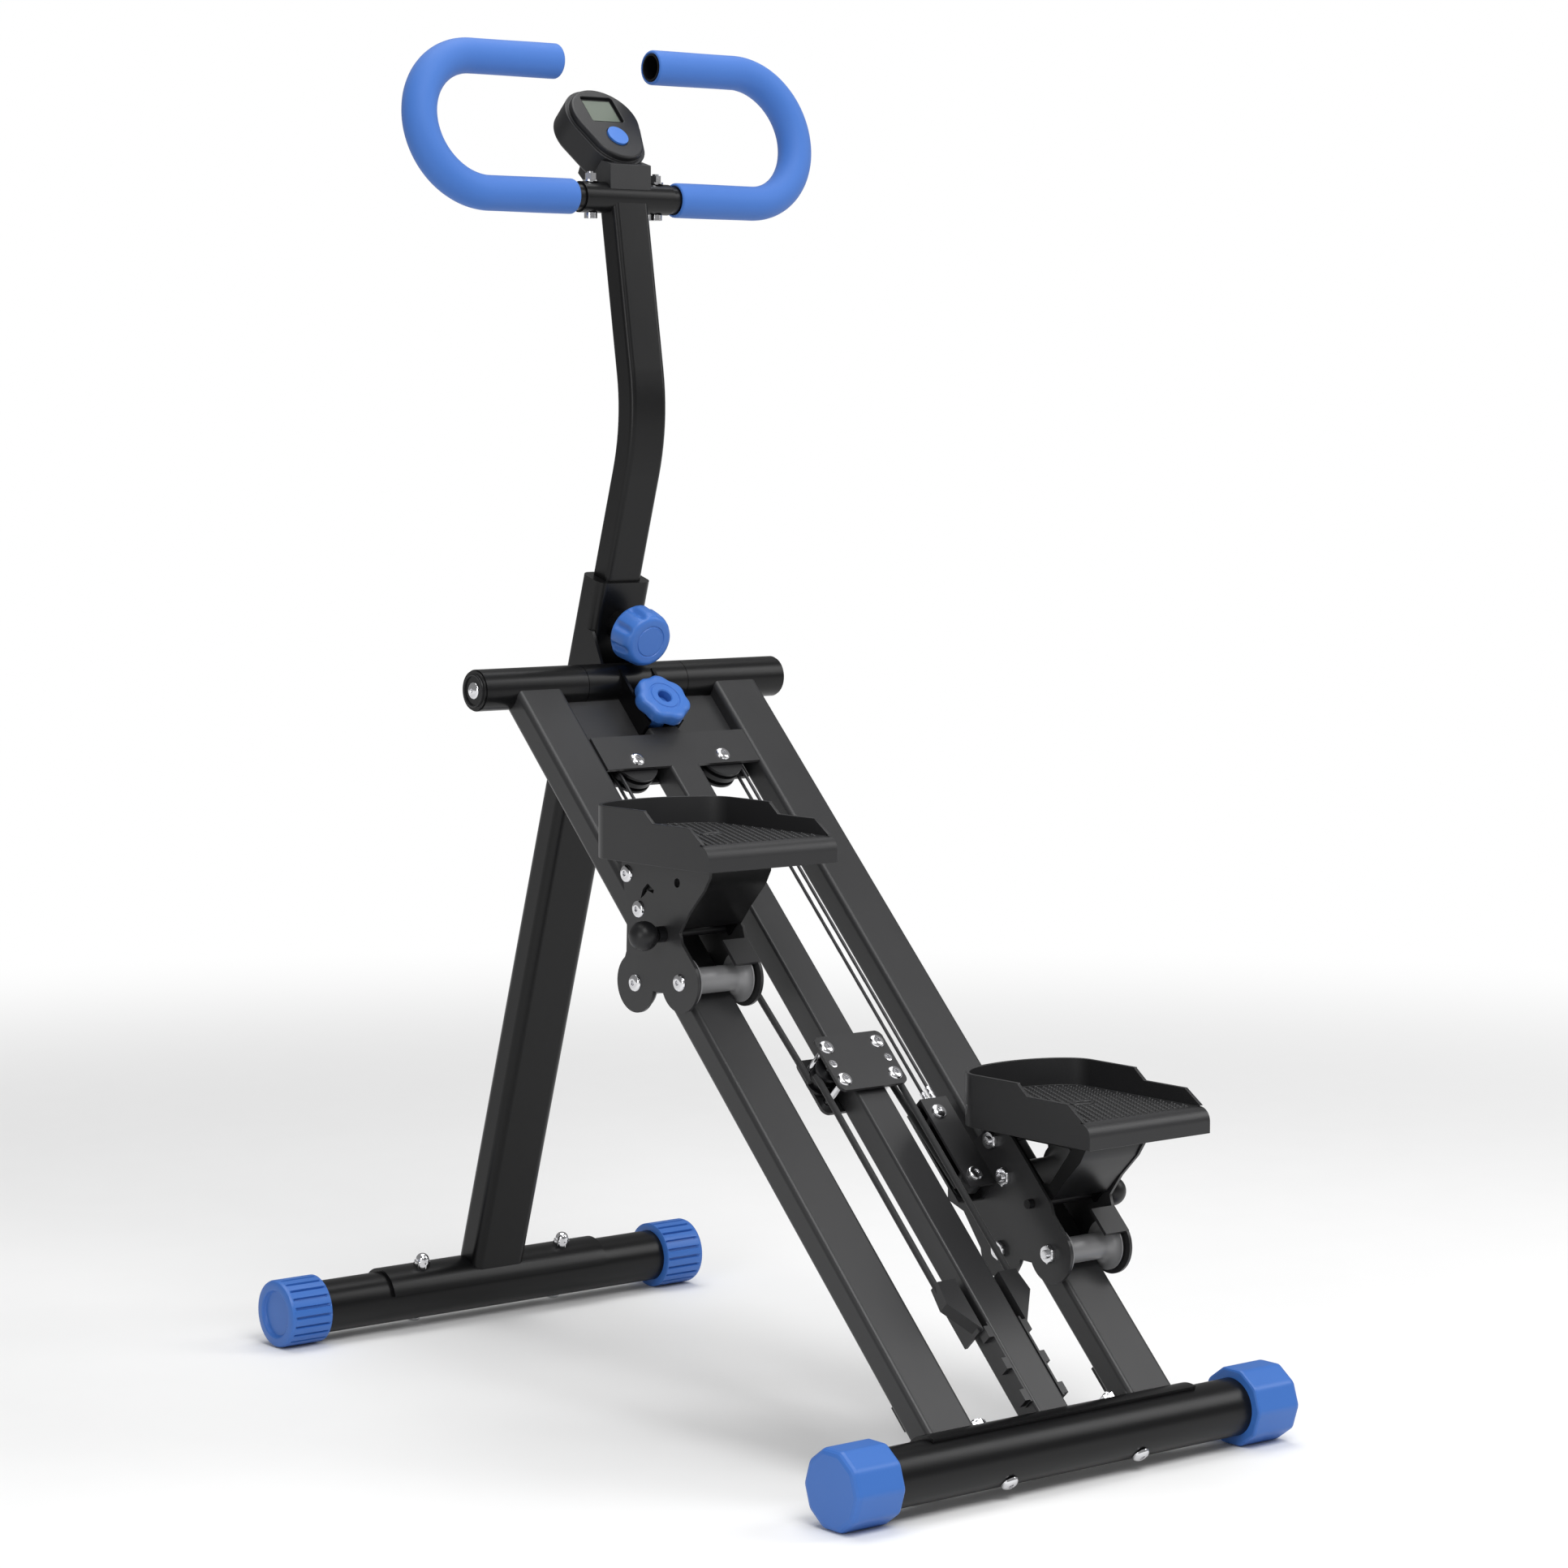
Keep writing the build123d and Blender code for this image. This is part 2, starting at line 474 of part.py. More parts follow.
def roller():
    """Turned about X: a straight waist that flares to a rim at each end, bored for its axle."""
    rise, run = roller_rim_r - roller_waist_r, roller_half - roller_flat
    flare = (run**2 + rise**2) / (2 * rise)
    turn = math.asin(run / flare)
    half = turn / 2
    mid = (roller_flat + flare * math.sin(half), roller_waist_r + flare * (1 - math.cos(half)))
    edge = roller_half
    bore = axle_d / 2 + bore_play
    with BuildSketch(Plane.XY) as section:
        with BuildLine():
            Line((roller_flat, roller_waist_r), (-roller_flat, roller_waist_r))
            ThreePointArc((-roller_flat, roller_waist_r), (-mid[0], mid[1]), (-edge, roller_rim_r))
            Polyline((-edge, roller_rim_r), (-edge - roller_lip, roller_rim_r), (-edge - roller_lip, bore),
                     (edge + roller_lip, bore), (edge + roller_lip, roller_rim_r), (edge, roller_rim_r))
            ThreePointArc((edge, roller_rim_r), mid, (roller_flat, roller_waist_r))
        make_face()
    return revolve(section.sketch, Axis.X)


def pedal_bracket():
    """Bent sheet between the plates: under the pedal, down its front, and a wing by each plate.

    The wings turn on the upper bolt and rest on the pull pin in an open notch.
    """
    half, t = plate_in - wing_gap, wing_t
    outside = [(78, deck_z), (-41, deck_z), (-41, 96), (-33, 82.5), (-13, 62.5), (1, 46)]
    inside = [(3.2, 47.6), (-11, 64.4), (-31, 84.2), (-38.4, 97), (-38.4, deck_z - t), (78, deck_z - t)]
    sheet = extrude(side_plane * make_face(Polyline(*outside, *inside, close=True)), 2 * half)
    hinge_y, hinge_z = upper_bolts[0]
    across = math.atan2(pin_z - hinge_z, pin_y - hinge_y)
    open_y, open_z = -math.sin(across), math.cos(across)          # way the pin leaves the notch
    edge_y, edge_z = open_z, -open_y
    low = (pin_y + 9 * edge_y, pin_z + 9 * edge_z)
    high = (pin_y - 7.5 * edge_y, pin_z - 7.5 * edge_z)
    wing = [(78, deck_z), (-38.4, deck_z), (-38.4, 97), (-31, 84), (-11, 64), (3.2, 47.6), low, high,
            (50, 76), (62, 75), (82, 77), (86, 92)]
    cheek = extrude(side_plane * make_face(Polyline(*wing, close=True)), t)
    window = Polyline((-22, 93), (50, 93), (14, 58), (4, 60), close=True)
    cheek -= Pos(-1, 0, 0) * extrude(side_plane * make_face(window), t + 2)
    cheek -= rod(axle_d / 2 + bore_play, -10, 10, hinge_y, hinge_z)
    notch_r = pin_d / 2 + 0.3
    cheek -= rod(notch_r, -10, 10, pin_y, pin_z)
    cheek -= rod(notch_r, -10, 10, pin_y + notch_r * open_y, pin_z + notch_r * open_z)
    return Pos(-half, 0, 0) * (sheet + cheek) + Pos(half - t, 0, 0) * cheek


def pedal():
    """Foot tray: closed round toe, side walls that step down to an open heel with a rolled lip."""

    def outline(grow):
        half, toe = pedal_half_w - grow, pedal_toe - grow
        sides = Pos(0, (pedal_side_end + pedal_heel) / 2) * Rectangle(2 * half, pedal_side_end - pedal_heel)
        return sides + Pos(0, pedal_side_end) * Ellipse(half, toe)
    lip_y, lip_z = pedal_heel + pedal_lip_r, pedal_floor - pedal_lip_r
    inner_r, wide = pedal_lip_r - pedal_wall, pedal_half_w + 1

    def heel_corner(radius):
        corner = box(-wide, wide, lip_y - radius - 1, lip_y, lip_z, lip_z + radius + 1)
        return corner - rod(radius, -wide - 1, wide + 1, lip_y, lip_z)

    tray = extrude(outline(0), pedal_toe_h)
    hollow = Pos(0, 0, pedal_floor) * extrude(outline(pedal_wall), pedal_toe_h)
    under = Pos(0, 0, -1) * extrude(outline(pedal_wall), pedal_floor - pedal_wall + 1)
    under &= box(-wide, wide, pedal_heel + pedal_wall, pedal_side_end + pedal_toe, -2, pedal_floor)
    under -= heel_corner(inner_r)
    open_heel = box(-pedal_half_w + pedal_wall, pedal_half_w - pedal_wall, pedal_heel - 1, lip_y,
                    pedal_floor, pedal_toe_h + 1)
    tray = tray - hollow - under - open_heel - heel_corner(pedal_lip_r)
    y_mid, y_low, y_high = pedal_rise
    above = pedal_toe_h + 1
    profile = Polyline((pedal_heel - 1, pedal_heel_h - 4), (pedal_heel + 4, pedal_heel_h), (y_mid, pedal_mid_h),
                       (y_low, pedal_mid_h), (y_high, pedal_toe_h - 1), (y_high, above), (pedal_heel - 1, above), close=True)
    tray -= Pos(-wide, 0, 0) * extrude(side_plane * make_face(profile), 2 * wide)
    rib = box(-plate_in - plate_t, plate_in + plate_t, -44, 84, 0, pedal_floor - pedal_wall)
    return Pos(0, 0, deck_z) * (tray + rib)


def pull_pin():
    end = plate_in + plate_t
    pin = rod(pin_d / 2, -end - pin_out, end + 3, pin_y, pin_z)
    pin += rod(7, end + 0.3, end + 8, pin_y, pin_z) + rod(5, end + 8, end + ball_out, pin_y, pin_z)
    return pin + Pos(end + ball_out, pin_y, pin_z) * Sphere(ball_d / 2)


def cable_hitch():
    """Channel on the inner plate, open towards the middle, that takes the two cables' ends.

    X is across the machine, so it isn't measured from the rail.
    """
    x0, x1 = hitch_x0, rail_x - plate_in - plate_t
    body = box(x0, x1, hitch_s0, hitch_s1, -hitch_half, hitch_half)
    body -= box(x0 - 1, x1 - hitch_t, hitch_s0 - 1, hitch_s1 - hitch_t, -hitch_half + hitch_t, hitch_half - hitch_t)
    cable_x = top_pulley_x + groove_r + cable_d / 2
    for h in (-groove_h, groove_h):
        body -= along(cable_d / 2 + bore_play, hitch_s1 - 5, hitch_s1 + 1, cable_x, h)
    for s in (hitch_pulley_s, hitch_screw_s):
        body -= post_bar(axle_d / 2 + bore_play, s, -60, 60, hitch_pulley_x)
    # the cord leaves through a notch in the end wall
    body -= box(x0 - 1, x0 + cord_d, hitch_s1 - 2 * hitch_t, hitch_s1 + 1, -block_groove_h - cord_d,
                -block_groove_h + cord_d)
    return body


def hitch_screws():
    return [screw(hitch_pulley_x, s, hitch_half, -hitch_half - 5, axle_d / 2)
            for s in (hitch_pulley_s, hitch_screw_s)]


# ---- post, sleeve and mast ----
def rear_frame():
    post = tube(post_w, post_d, post_r, post_wall, 0, post_top - sleeve_rim) - rod(saddle_r, -post_w, post_w)
    post = max(post.solids(), key=lambda s: s.volume)
    boss_y = post_top - height_knob_down
    face = post_d / 2
    boss = post_bar(boss_d / 2, boss_y, face - post_wall, face + boss_len)
    post = post + boss - post_bar(height_pin_d / 2 + 2 * bore_play, boss_y, 0, face + boss_len + 1)
    rear_saddle = saddle(rear_saddle_half, 90 + math.degrees(lean))
    for x in (-rear_bolt_x, rear_bolt_x):
        rear_saddle -= post_axis_local(base_bolt_d / 2 + bore_play, 0, 2 * saddle_r, x)
    # cheeks that carry the middle pivot tube in front of the post
    y = foot_to_pivot
    outline = Polyline((y - 42, 0), (y - 42, face), (y - 12, face + post_gap + pivot_r), (y + 12, face + post_gap + pivot_r),
                       (y + 42, face), (y + 42, 0), close=True)
    for x in (-post_w / 2, post_w / 2 - sheet_t):
        cheek = Pos(x, 0, 0) * extrude(side_plane * make_face(outline), sheet_t)
        post += cheek
    post -= rod(pivot_r, -post_w, post_w, foot_to_pivot, post_offset)
    post -= bar(post_w - 2 * post_wall, post_d - 2 * post_wall, post_r - post_wall, 60, post_top + 1)
    whole = (post_frame * post) + (Pos(0, rear_y, rear_z) * rear_saddle)
    save("main_post", whole)

    inner_w, inner_d = post_w - 2 * post_wall, post_d - 2 * post_wall
    sleeve = bar(inner_w - 0.1, inner_d - 0.1, post_r - post_wall, post_top - sleeve_len, post_top - 0.1)
    sleeve += bar(post_w, post_d, post_r, post_top - sleeve_rim, post_top)
    sleeve -= bar(mast_w + 2 * slide_gap, mast_d + 2 * slide_gap, mast_r + slide_gap, 0, post_top + 1)
    sleeve -= post_bar(height_pin_d / 2 + 2 * bore_play, boss_y, 0, face + 1)
    save("post_sleeve", post_frame * sleeve)

    web, s1 = lock_gap + sheet_t, rail_len
    s0 = rail_len - lock_bracket_len
    half = lock_bracket_w / 2
    channel = box(-half, half, s0, s1, lock_gap, lock_bracket_h)
    channel -= box(-half + sheet_t, half - sheet_t, s0 - 1, s1 + 1, web, lock_bracket_h + 1)
    channel -= rod(pivot_r, -half - 1, half + 1, rail_len)
    channel -= post_bar(lock_stud_d / 2 + 2 * bore_play, rail_len - lock_down, -10, web + 1)
    channel = max(channel.solids(), key=lambda s: s.volume)
    middle = pipe(pivot_r, pivot_r - pivot_wall, -pivot_mid_half, pivot_mid_half, rail_len)
    save("pivot_tube_middle", rail_frame * (channel + middle))

    save("lock_knob", rail_frame * Pos(0, rail_len - lock_down, 0) * lock_knob())
    save("height_knob", post_frame * Pos(0, boss_y, face + boss_len) * height_knob())


def lock_knob():
    """Flat lobed clamp knob on a threaded stud that reaches the lock plate."""
    low = lock_bracket_h + 1
    lobes = Circle(lock_knob_d / 2 - 2.5) + PolarLocations(lock_knob_d / 2 - 11, 7) * Circle(11)
    knob = Pos(0, 0, low) * extrude(lobes, lock_knob_len)
    knob = knob - post_bar(5, 0, low + 6, low + lock_knob_len + 1)
    collar = post_bar(14, 0, lock_gap + sheet_t + 0.3, low)
    return knob + collar + post_bar(lock_stud_d / 2, 0, -sheet_t - 1, low + 1)


def height_knob():
    """Fluted pull knob on the pin that holds the mast; its axis is local Z."""
    profile = [(0, 0.5), (height_knob_d / 2 - 1.5, 0.5), (height_knob_d / 2, 4), (height_knob_d / 2 - 5, 24),
               (height_knob_d / 2 - 8, height_knob_len), (0, height_knob_len)]
    face = make_face(Plane.XZ * Polyline(*profile, close=True))
    knob = revolve(face, Axis.Z)
    cutters = PolarLocations(height_knob_d / 2 + 3.5, 8) * Cylinder(6.5, 60)
    knob -= cutters
    inside = mast_wall + slide_gap + (post_d - mast_d) / 2 - slide_gap + 1.5
    return knob + post_bar(height_pin_d / 2, 0, -boss_len - inside, 1)


def mast_path():
    start = (0, post_top - mast_inside, 0)
    bend = (0, post_top + mast_bend_up, 0)
    bend_world = post_frame * Pos(*bend)
    y, z = bend_world.position.Y, bend_world.position.Z
    return (post_frame * Pos(*start)).position, Vector(0, y, z), Vector(0, y + cross_back, z + cross_up)


def handle():
    start, bend, top = mast_path()
    path = FilletPolyline(start, bend, top, radius=mast_bend_r)
    section = Plane(origin=path @ 0, x_dir=(1, 0, 0), z_dir=path % 0)
    outer = sweep(section * RectangleRounded(mast_w, mast_d, mast_r), path)
    inner = sweep(section * RectangleRounded(mast_w - 2 * mast_wall, mast_d - 2 * mast_wall, mast_r - mast_wall), path)
    mast = outer - inner - rod(cross_tube_d / 2, -mast_w, mast_w, top.Y, top.Z)
    mast = max(mast.solids(), key=lambda s: s.volume)
    # lengthwise slot for the knob's pin, in the part of the mast that stays inside the post
    slot_r, boss_y = height_pin_d / 2 + 0.5, post_top - height_knob_down
    slot = box(-slot_r, slot_r, boss_y - height_travel, boss_y, 0, mast_d)
    slot += post_bar(slot_r, boss_y, 0, mast_d) + post_bar(slot_r, boss_y - height_travel, 0, mast_d)
    save("mast", mast - post_frame * slot)

    bolt_r, cross_r = handle_bolt_d / 2, cross_tube_d / 2
    cross = pipe(cross_r, cross_r - cross_tube_wall, -cross_tube_half, cross_tube_half)
    loops = []
    tilt = Rot(-loop_tilt, 0, 0)
    ring_r, straight = loop_rise / 2, loop_outer - loop_rise / 2

    def loop_sweep(section, x_low, x_high):
        low = Line((x_low, 0, 0), (straight, 0, 0))
        arc = ThreePointArc((straight, 0, 0), (straight + ring_r, 0, ring_r), (straight, 0, loop_rise))
        high = Line((straight, 0, loop_rise), (x_high, 0, loop_rise))
        path = Curve() + [low, arc, high]
        return sweep(Plane.YZ.offset(x_low) * section, path)

    wall_ring = Circle(loop_d / 2) - Circle(loop_d / 2 - loop_wall)
    foam_ring = Circle(grip_d / 2) - Circle(loop_d / 2 + bore_play)
    loop = tilt * loop_sweep(wall_ring, loop_inner, loop_top_inner)
    grip = tilt * loop_sweep(foam_ring, grip_inner, loop_top_inner)
    bolts = []
    for x in (-handle_bolt_x, handle_bolt_x):
        hole = post_bar(bolt_r + bore_play, 0, -60, 60, x)
        cross -= hole
        loop -= hole
        shank = post_bar(bolt_r, 0, -cross_r - 3, cross_r + 9, x)
        head = post_bar(bolt_r * 2, 0, -cross_r - 5, -cross_r, x)
        nut = Pos(x, 0, cross_r + 1.5) * extrude(RegularPolygon(bolt_r * 1.8, 6), 6)
        washer = post_bar(bolt_r * 2.4, 0, cross_r, cross_r + 1.5, x)
        bolts += [shank + head + nut + washer]
    place = Pos(0, top.Y, top.Z)
    save("handle_tubes", *[place * one for one in (cross, loop, mirrored(loop))])
    save("grips", *[place * one for one in (grip, mirrored(grip))])
    save("handle_bolts", *[place * one for one in bolts])
    computer(place)


# ---- computer ----
def computer(place):
    tilt = math.radians(computer_tilt)
    face = Plane(origin=(0, computer_back, computer_up), x_dir=(1, 0, 0),
                 z_dir=(0, -math.cos(tilt), math.sin(tilt))).location

    def shield(grow):
        top = Pos(0, face_h / 2 - face_top_r) * Circle(face_top_r + grow)
        low = Pos(0, face_low_r - face_h / 2) * Circle(face_low_r + grow)
        return make_hull(top.edges() + low.edges())

    body = Pos(0, 0, -bezel_depth - body_depth) * extrude(shield(0), body_depth)
    body = fillet(body.faces().sort_by(Axis.Z)[0].edges(), 4)
    bezel = Pos(0, 0, -bezel_depth) * extrude(shield(-bezel_inset), bezel_depth)
    bezel = fillet(bezel.faces().sort_by(Axis.Z)[-1].edges(), 2)
    window = Pos(0, window_v, -window_depth) * extrude(RectangleRounded(window_w, window_h, 3), window_depth + 1)
    bezel -= window
    slot = Pos(0, button_v, -bezel_depth) * extrude(Ellipse(button_w / 2 + 0.3, button_h / 2 + 0.3), bezel_depth + 1)
    bezel -= slot
    screen = Pos(0, window_v, -window_depth) * extrude(Rectangle(screen_w, screen_h), screen_t)
    button = Pos(0, button_v, -bezel_depth + button_travel + 0.4)
    button *= extrude(Ellipse(button_w / 2, button_h / 2), bezel_depth - button_travel - 0.4 + button_up)
    save("computer_housing", place * face * (body + bezel))
    save("computer_screen", place * face * screen)
    save("computer_button", place * face * button)

    # seat between the cross tube and the underside of the housing
    reach = body_depth + bezel_depth
    seat = Polyline((-cross_r_seat, 4), (cross_r_seat, 0), (computer_back + reach * math.cos(tilt) - 6, 24),
                    (computer_back + 10, 42), (-cross_r_seat, 30), close=True)
    seat = Pos(-bracket_w / 2, 0, 0) * extrude(side_plane * make_face(seat), bracket_w)
    seat -= rod(cross_tube_d / 2, -bracket_w, bracket_w)
    seat -= face * Pos(0, 0, -reach) * extrude(shield(0.2), reach + 20)
    save("computer_bracket", place * max(seat.solids(), key=lambda s: s.volume))


bases()
base_bolts()
front_frame()
drive()
carriage("left", -1, left_s)
carriage("right", 1, right_s)
rear_frame()
handle()

os.makedirs("parts", exist_ok=True)
for node, shape in parts.items():
    export_step(shape, f"parts/{node}.step")
print(len(parts), "nodes")
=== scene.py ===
import json
import math
import bmesh
import bpy
import numpy as np
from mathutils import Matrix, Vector


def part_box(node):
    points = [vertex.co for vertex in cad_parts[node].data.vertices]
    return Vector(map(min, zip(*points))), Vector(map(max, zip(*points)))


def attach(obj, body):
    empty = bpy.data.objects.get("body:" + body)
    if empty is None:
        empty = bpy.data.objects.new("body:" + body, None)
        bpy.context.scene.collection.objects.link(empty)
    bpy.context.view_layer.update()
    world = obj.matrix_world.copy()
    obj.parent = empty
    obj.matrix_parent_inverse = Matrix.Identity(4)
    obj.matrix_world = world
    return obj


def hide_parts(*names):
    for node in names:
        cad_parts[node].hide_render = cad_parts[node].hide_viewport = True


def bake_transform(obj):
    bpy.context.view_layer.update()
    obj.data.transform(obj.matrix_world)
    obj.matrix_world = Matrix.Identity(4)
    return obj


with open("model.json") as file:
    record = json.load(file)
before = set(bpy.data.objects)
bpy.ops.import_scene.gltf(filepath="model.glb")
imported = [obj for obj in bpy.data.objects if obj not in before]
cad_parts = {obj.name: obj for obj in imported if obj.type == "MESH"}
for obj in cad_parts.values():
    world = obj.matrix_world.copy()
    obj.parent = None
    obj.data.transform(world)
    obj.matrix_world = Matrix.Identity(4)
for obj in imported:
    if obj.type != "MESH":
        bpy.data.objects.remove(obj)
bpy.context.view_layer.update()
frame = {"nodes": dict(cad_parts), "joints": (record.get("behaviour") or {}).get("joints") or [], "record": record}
nodes = frame["nodes"]
joints = {j["name"]: j for j in frame["joints"]}
sides = {"left": -1, "right": 1}
print("frame loaded:", len(nodes), "nodes")


# small helpers
def unit(v):
    v = np.asarray(v, float)
    return v / np.linalg.norm(v)


def jointPlace(name):
    # point and direction of a joint, as arrays
    return np.array(joints[name]["pos_m"], float), unit(joints[name]["axis"])


def boxOf(name):
    lo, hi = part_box(name)
    return np.array(lo), np.array(hi)


def pointsOf(mesh):
    points = np.empty(len(mesh.vertices) * 3)
    mesh.vertices.foreach_get("co", points)
    return points.reshape(-1, 3)


def middleAcross(points, directions):
    # half way between the furthest points in each of two directions
    return sum(d * (np.min(points @ d) + np.max(points @ d)) / 2 for d in directions)


def axisSpan(name, axis):
    # middle of a node across an axis, and how far along the axis the node ends
    points = pointsOf(nodes[name].data)
    side = unit(np.cross(axis, (1, 0, 0)))
    return middleAcross(points, (np.array([1.0, 0, 0]), side)), np.max(points @ axis)


def gridFaces(rows, cols, closeRows=False, closeCols=True):
    # quads between neighbouring rows and columns, as one array
    r = np.arange(rows if closeRows else rows - 1)
    c = np.arange(cols if closeCols else cols - 1)
    r, c = np.meshgrid(r, c, indexing="ij")
    r2, c2 = (r + 1) % rows, (c + 1) % cols
    quads = np.stack([r * cols + c, r * cols + c2, r2 * cols + c2, r2 * cols + c], -1)
    return quads.reshape(-1, 4)


def placed(name, mesh, material):
    mesh.materials.append(material)
    piece = bpy.data.objects.new(name, mesh)
    bpy.context.scene.collection.objects.link(piece)
    return piece


def makePiece(name, points, faces, material, body=None, smooth=40):
    # mesh piece from arrays of points in metres and of faces
    mesh = bpy.data.meshes.new(name)
    faces = faces.tolist() if isinstance(faces, np.ndarray) else faces
    mesh.from_pydata(np.asarray(points).tolist(), [], faces)
    mesh.validate()
    mesh.polygons.foreach_set("use_smooth", np.ones(len(mesh.polygons), bool))
    mesh.set_sharp_from_angle(angle=math.radians(smooth))
    piece = placed(name, mesh, material)
    if body:
        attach(piece, body)
    return piece


def turnedGrid(profile, radiusAt, turns, origin, axis, start):
    # rows follow the profile (along, radius) and columns go round the axis;
    # radiusAt(theta, along, radius) shapes flutes and lobes
    origin, axis = np.asarray(origin, float), unit(axis)
    side = unit(np.asarray(start, float) - np.dot(start, axis) * axis)
    other = np.cross(axis, side)
    theta = np.arange(turns) * 2 * math.pi / turns
    along = np.array([p[0] for p in profile])[:, None]
    radius = np.array([p[1] for p in profile])[:, None]
    r = radiusAt(theta[None, :], along, radius)
    ring = np.cos(theta)[:, None] * side + np.sin(theta)[:, None] * other
    points = origin + along[..., None] * axis + r[..., None] * ring[None]
    return points.reshape(-1, 3)


def turnedPiece(name, profile, origin, axis, material, body, hides=(), radiusAt=None, turns=96,
                start=(1, 0, 0.001), smooth=40):
    # closed turned solid, whose profile begins and ends on the axis or closes on itself
    shape = radiusAt or (lambda theta, along, radius: radius + 0 * theta)
    points = turnedGrid(profile, shape, turns, origin, axis, start)
    rows = len(profile)
    ring = profile[0][1] > 1e-6
    faces = gridFaces(rows, turns, closeRows=ring)
    piece = makePiece(name, points, faces[:, ::-1], material, smooth=smooth)
    tidyMesh(piece.data)
    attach(piece, body)
    if hides:
        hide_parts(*hides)
    return piece


def tidyMesh(mesh):
    # poles are merged to one point and the faces turned outwards
    work = bmesh.new()
    work.from_mesh(mesh)
    bmesh.ops.remove_doubles(work, verts=work.verts, dist=1e-6)
    bmesh.ops.recalc_face_normals(work, faces=work.faces)
    work.to_mesh(mesh)
    work.free()


def joinPieces(name, pieces, body, hides=()):
    # several meshes of one material become one piece
    work = bmesh.new()
    for piece in pieces:
        work.from_mesh(piece.data)
    mesh = bpy.data.meshes.new(name)
    work.to_mesh(mesh)
    work.free()
    material = pieces[0].data.materials[0]
    for piece in pieces:
        bpy.data.objects.remove(piece)
    whole = placed(name, mesh, material)
    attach(whole, body)
    if hides:
        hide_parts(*hides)
    return whole


def softened(node, width, body, material, name):
    # copy of a moulded or pressed piece with its edges rounded over
    work = bmesh.new()
    work.from_mesh(nodes[node].data)
    bmesh.ops.remove_doubles(work, verts=work.verts, dist=1e-6)
    bmesh.ops.dissolve_limit(work, angle_limit=math.radians(1.5), verts=work.verts, edges=work.edges)
    bmesh.ops.recalc_face_normals(work, faces=work.faces)
    mesh = bpy.data.meshes.new(name)
    work.to_mesh(mesh)
    work.free()
    mesh.polygons.foreach_set("use_smooth", np.ones(len(mesh.polygons), bool))
    piece = placed(name, mesh, material)
    bevel = piece.modifiers.new("edges", "BEVEL")
    bevel.width, bevel.segments, bevel.limit_method = width, 3, "ANGLE"
    bevel.angle_limit = math.radians(35)
    even = piece.modifiers.new("even shading", "WEIGHTED_NORMAL")
    even.weight, even.keep_sharp = 100, True
    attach(piece, body)
    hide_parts(node)
    return piece


# shader groups shared by the finishes
def socket(group, name, way, kind, value=None):
    made = group.interface.new_socket(name=name, in_out=way, socket_type="NodeSocket" + kind)
    if value is not None:
        made.default_value = value
    return made


def newGroup(name, inputs, outputs):
    group = bpy.data.node_groups.new(name, "ShaderNodeTree")
    for label, kind, value in inputs:
        socket(group, label, "INPUT", kind, value)
    for label, kind in outputs:
        socket(group, label, "OUTPUT", kind)
    return group, group.nodes.new("NodeGroupInput"), group.nodes.new("NodeGroupOutput")


def math2(tree, operation, a, b):
    node = tree.nodes.new("ShaderNodeMath")
    node.operation = operation
    for slot, value in ((0, a), (1, b)):
        if isinstance(value, (int, float)):
            node.inputs[slot].default_value = value
        else:
            tree.links.new(value, node.inputs[slot])
    return node.outputs[0]


def grainGroup():
    # fine surface texture: two sizes of noise give a height, and a slow noise moves the roughness
    group, given, out = newGroup(
        "surfaceGrain",
        [("Size", "Float", 900.0), ("Roughness", "Float", 0.4), ("Spread", "Float", 0.08),
         ("Depth", "Float", 0.1)],
        [("Roughness", "Float"), ("Normal", "Vector"), ("Mask", "Float")])
    place = group.nodes.new("ShaderNodeTexCoord")
    fine = group.nodes.new("ShaderNodeTexNoise")
    slow = group.nodes.new("ShaderNodeTexNoise")
    slow.inputs["Scale"].default_value = 14.0
    slow.inputs["Detail"].default_value = 4.0
    fine.inputs["Detail"].default_value = 3.0
    link = group.links.new
    link(place.outputs["Object"], fine.inputs["Vector"])
    link(place.outputs["Object"], slow.inputs["Vector"])
    link(given.outputs["Size"], fine.inputs["Scale"])
    bump = group.nodes.new("ShaderNodeBump")
    bump.inputs["Distance"].default_value = 0.0004
    link(given.outputs["Depth"], bump.inputs["Strength"])
    link(fine.outputs["Fac"], bump.inputs["Height"])
    centred = math2(group, "SUBTRACT", slow.outputs["Fac"], 0.5)
    change = math2(group, "MULTIPLY", centred, given.outputs["Spread"])
    link(math2(group, "ADD", change, given.outputs["Roughness"]), out.inputs["Roughness"])
    link(bump.outputs["Normal"], out.inputs["Normal"])
    link(slow.outputs["Fac"], out.inputs["Mask"])
    return group


def edgeGroup():
    # lighter colour on sharp edges: pointiness above a threshold
    group, given, out = newGroup("lighterEdges", [("Amount", "Float", 0.3)], [("Mask", "Float")])
    geometry = group.nodes.new("ShaderNodeNewGeometry")
    ramp = group.nodes.new("ShaderNodeMapRange")
    ramp.inputs["From Min"].default_value = 0.52
    ramp.inputs["From Max"].default_value = 0.60
    group.links.new(geometry.outputs["Pointiness"], ramp.inputs["Value"])
    group.links.new(math2(group, "MULTIPLY", ramp.outputs[0], given.outputs["Amount"]), out.inputs["Mask"])
    return group


surfaceGrain = grainGroup()
lighterEdges = edgeGroup()


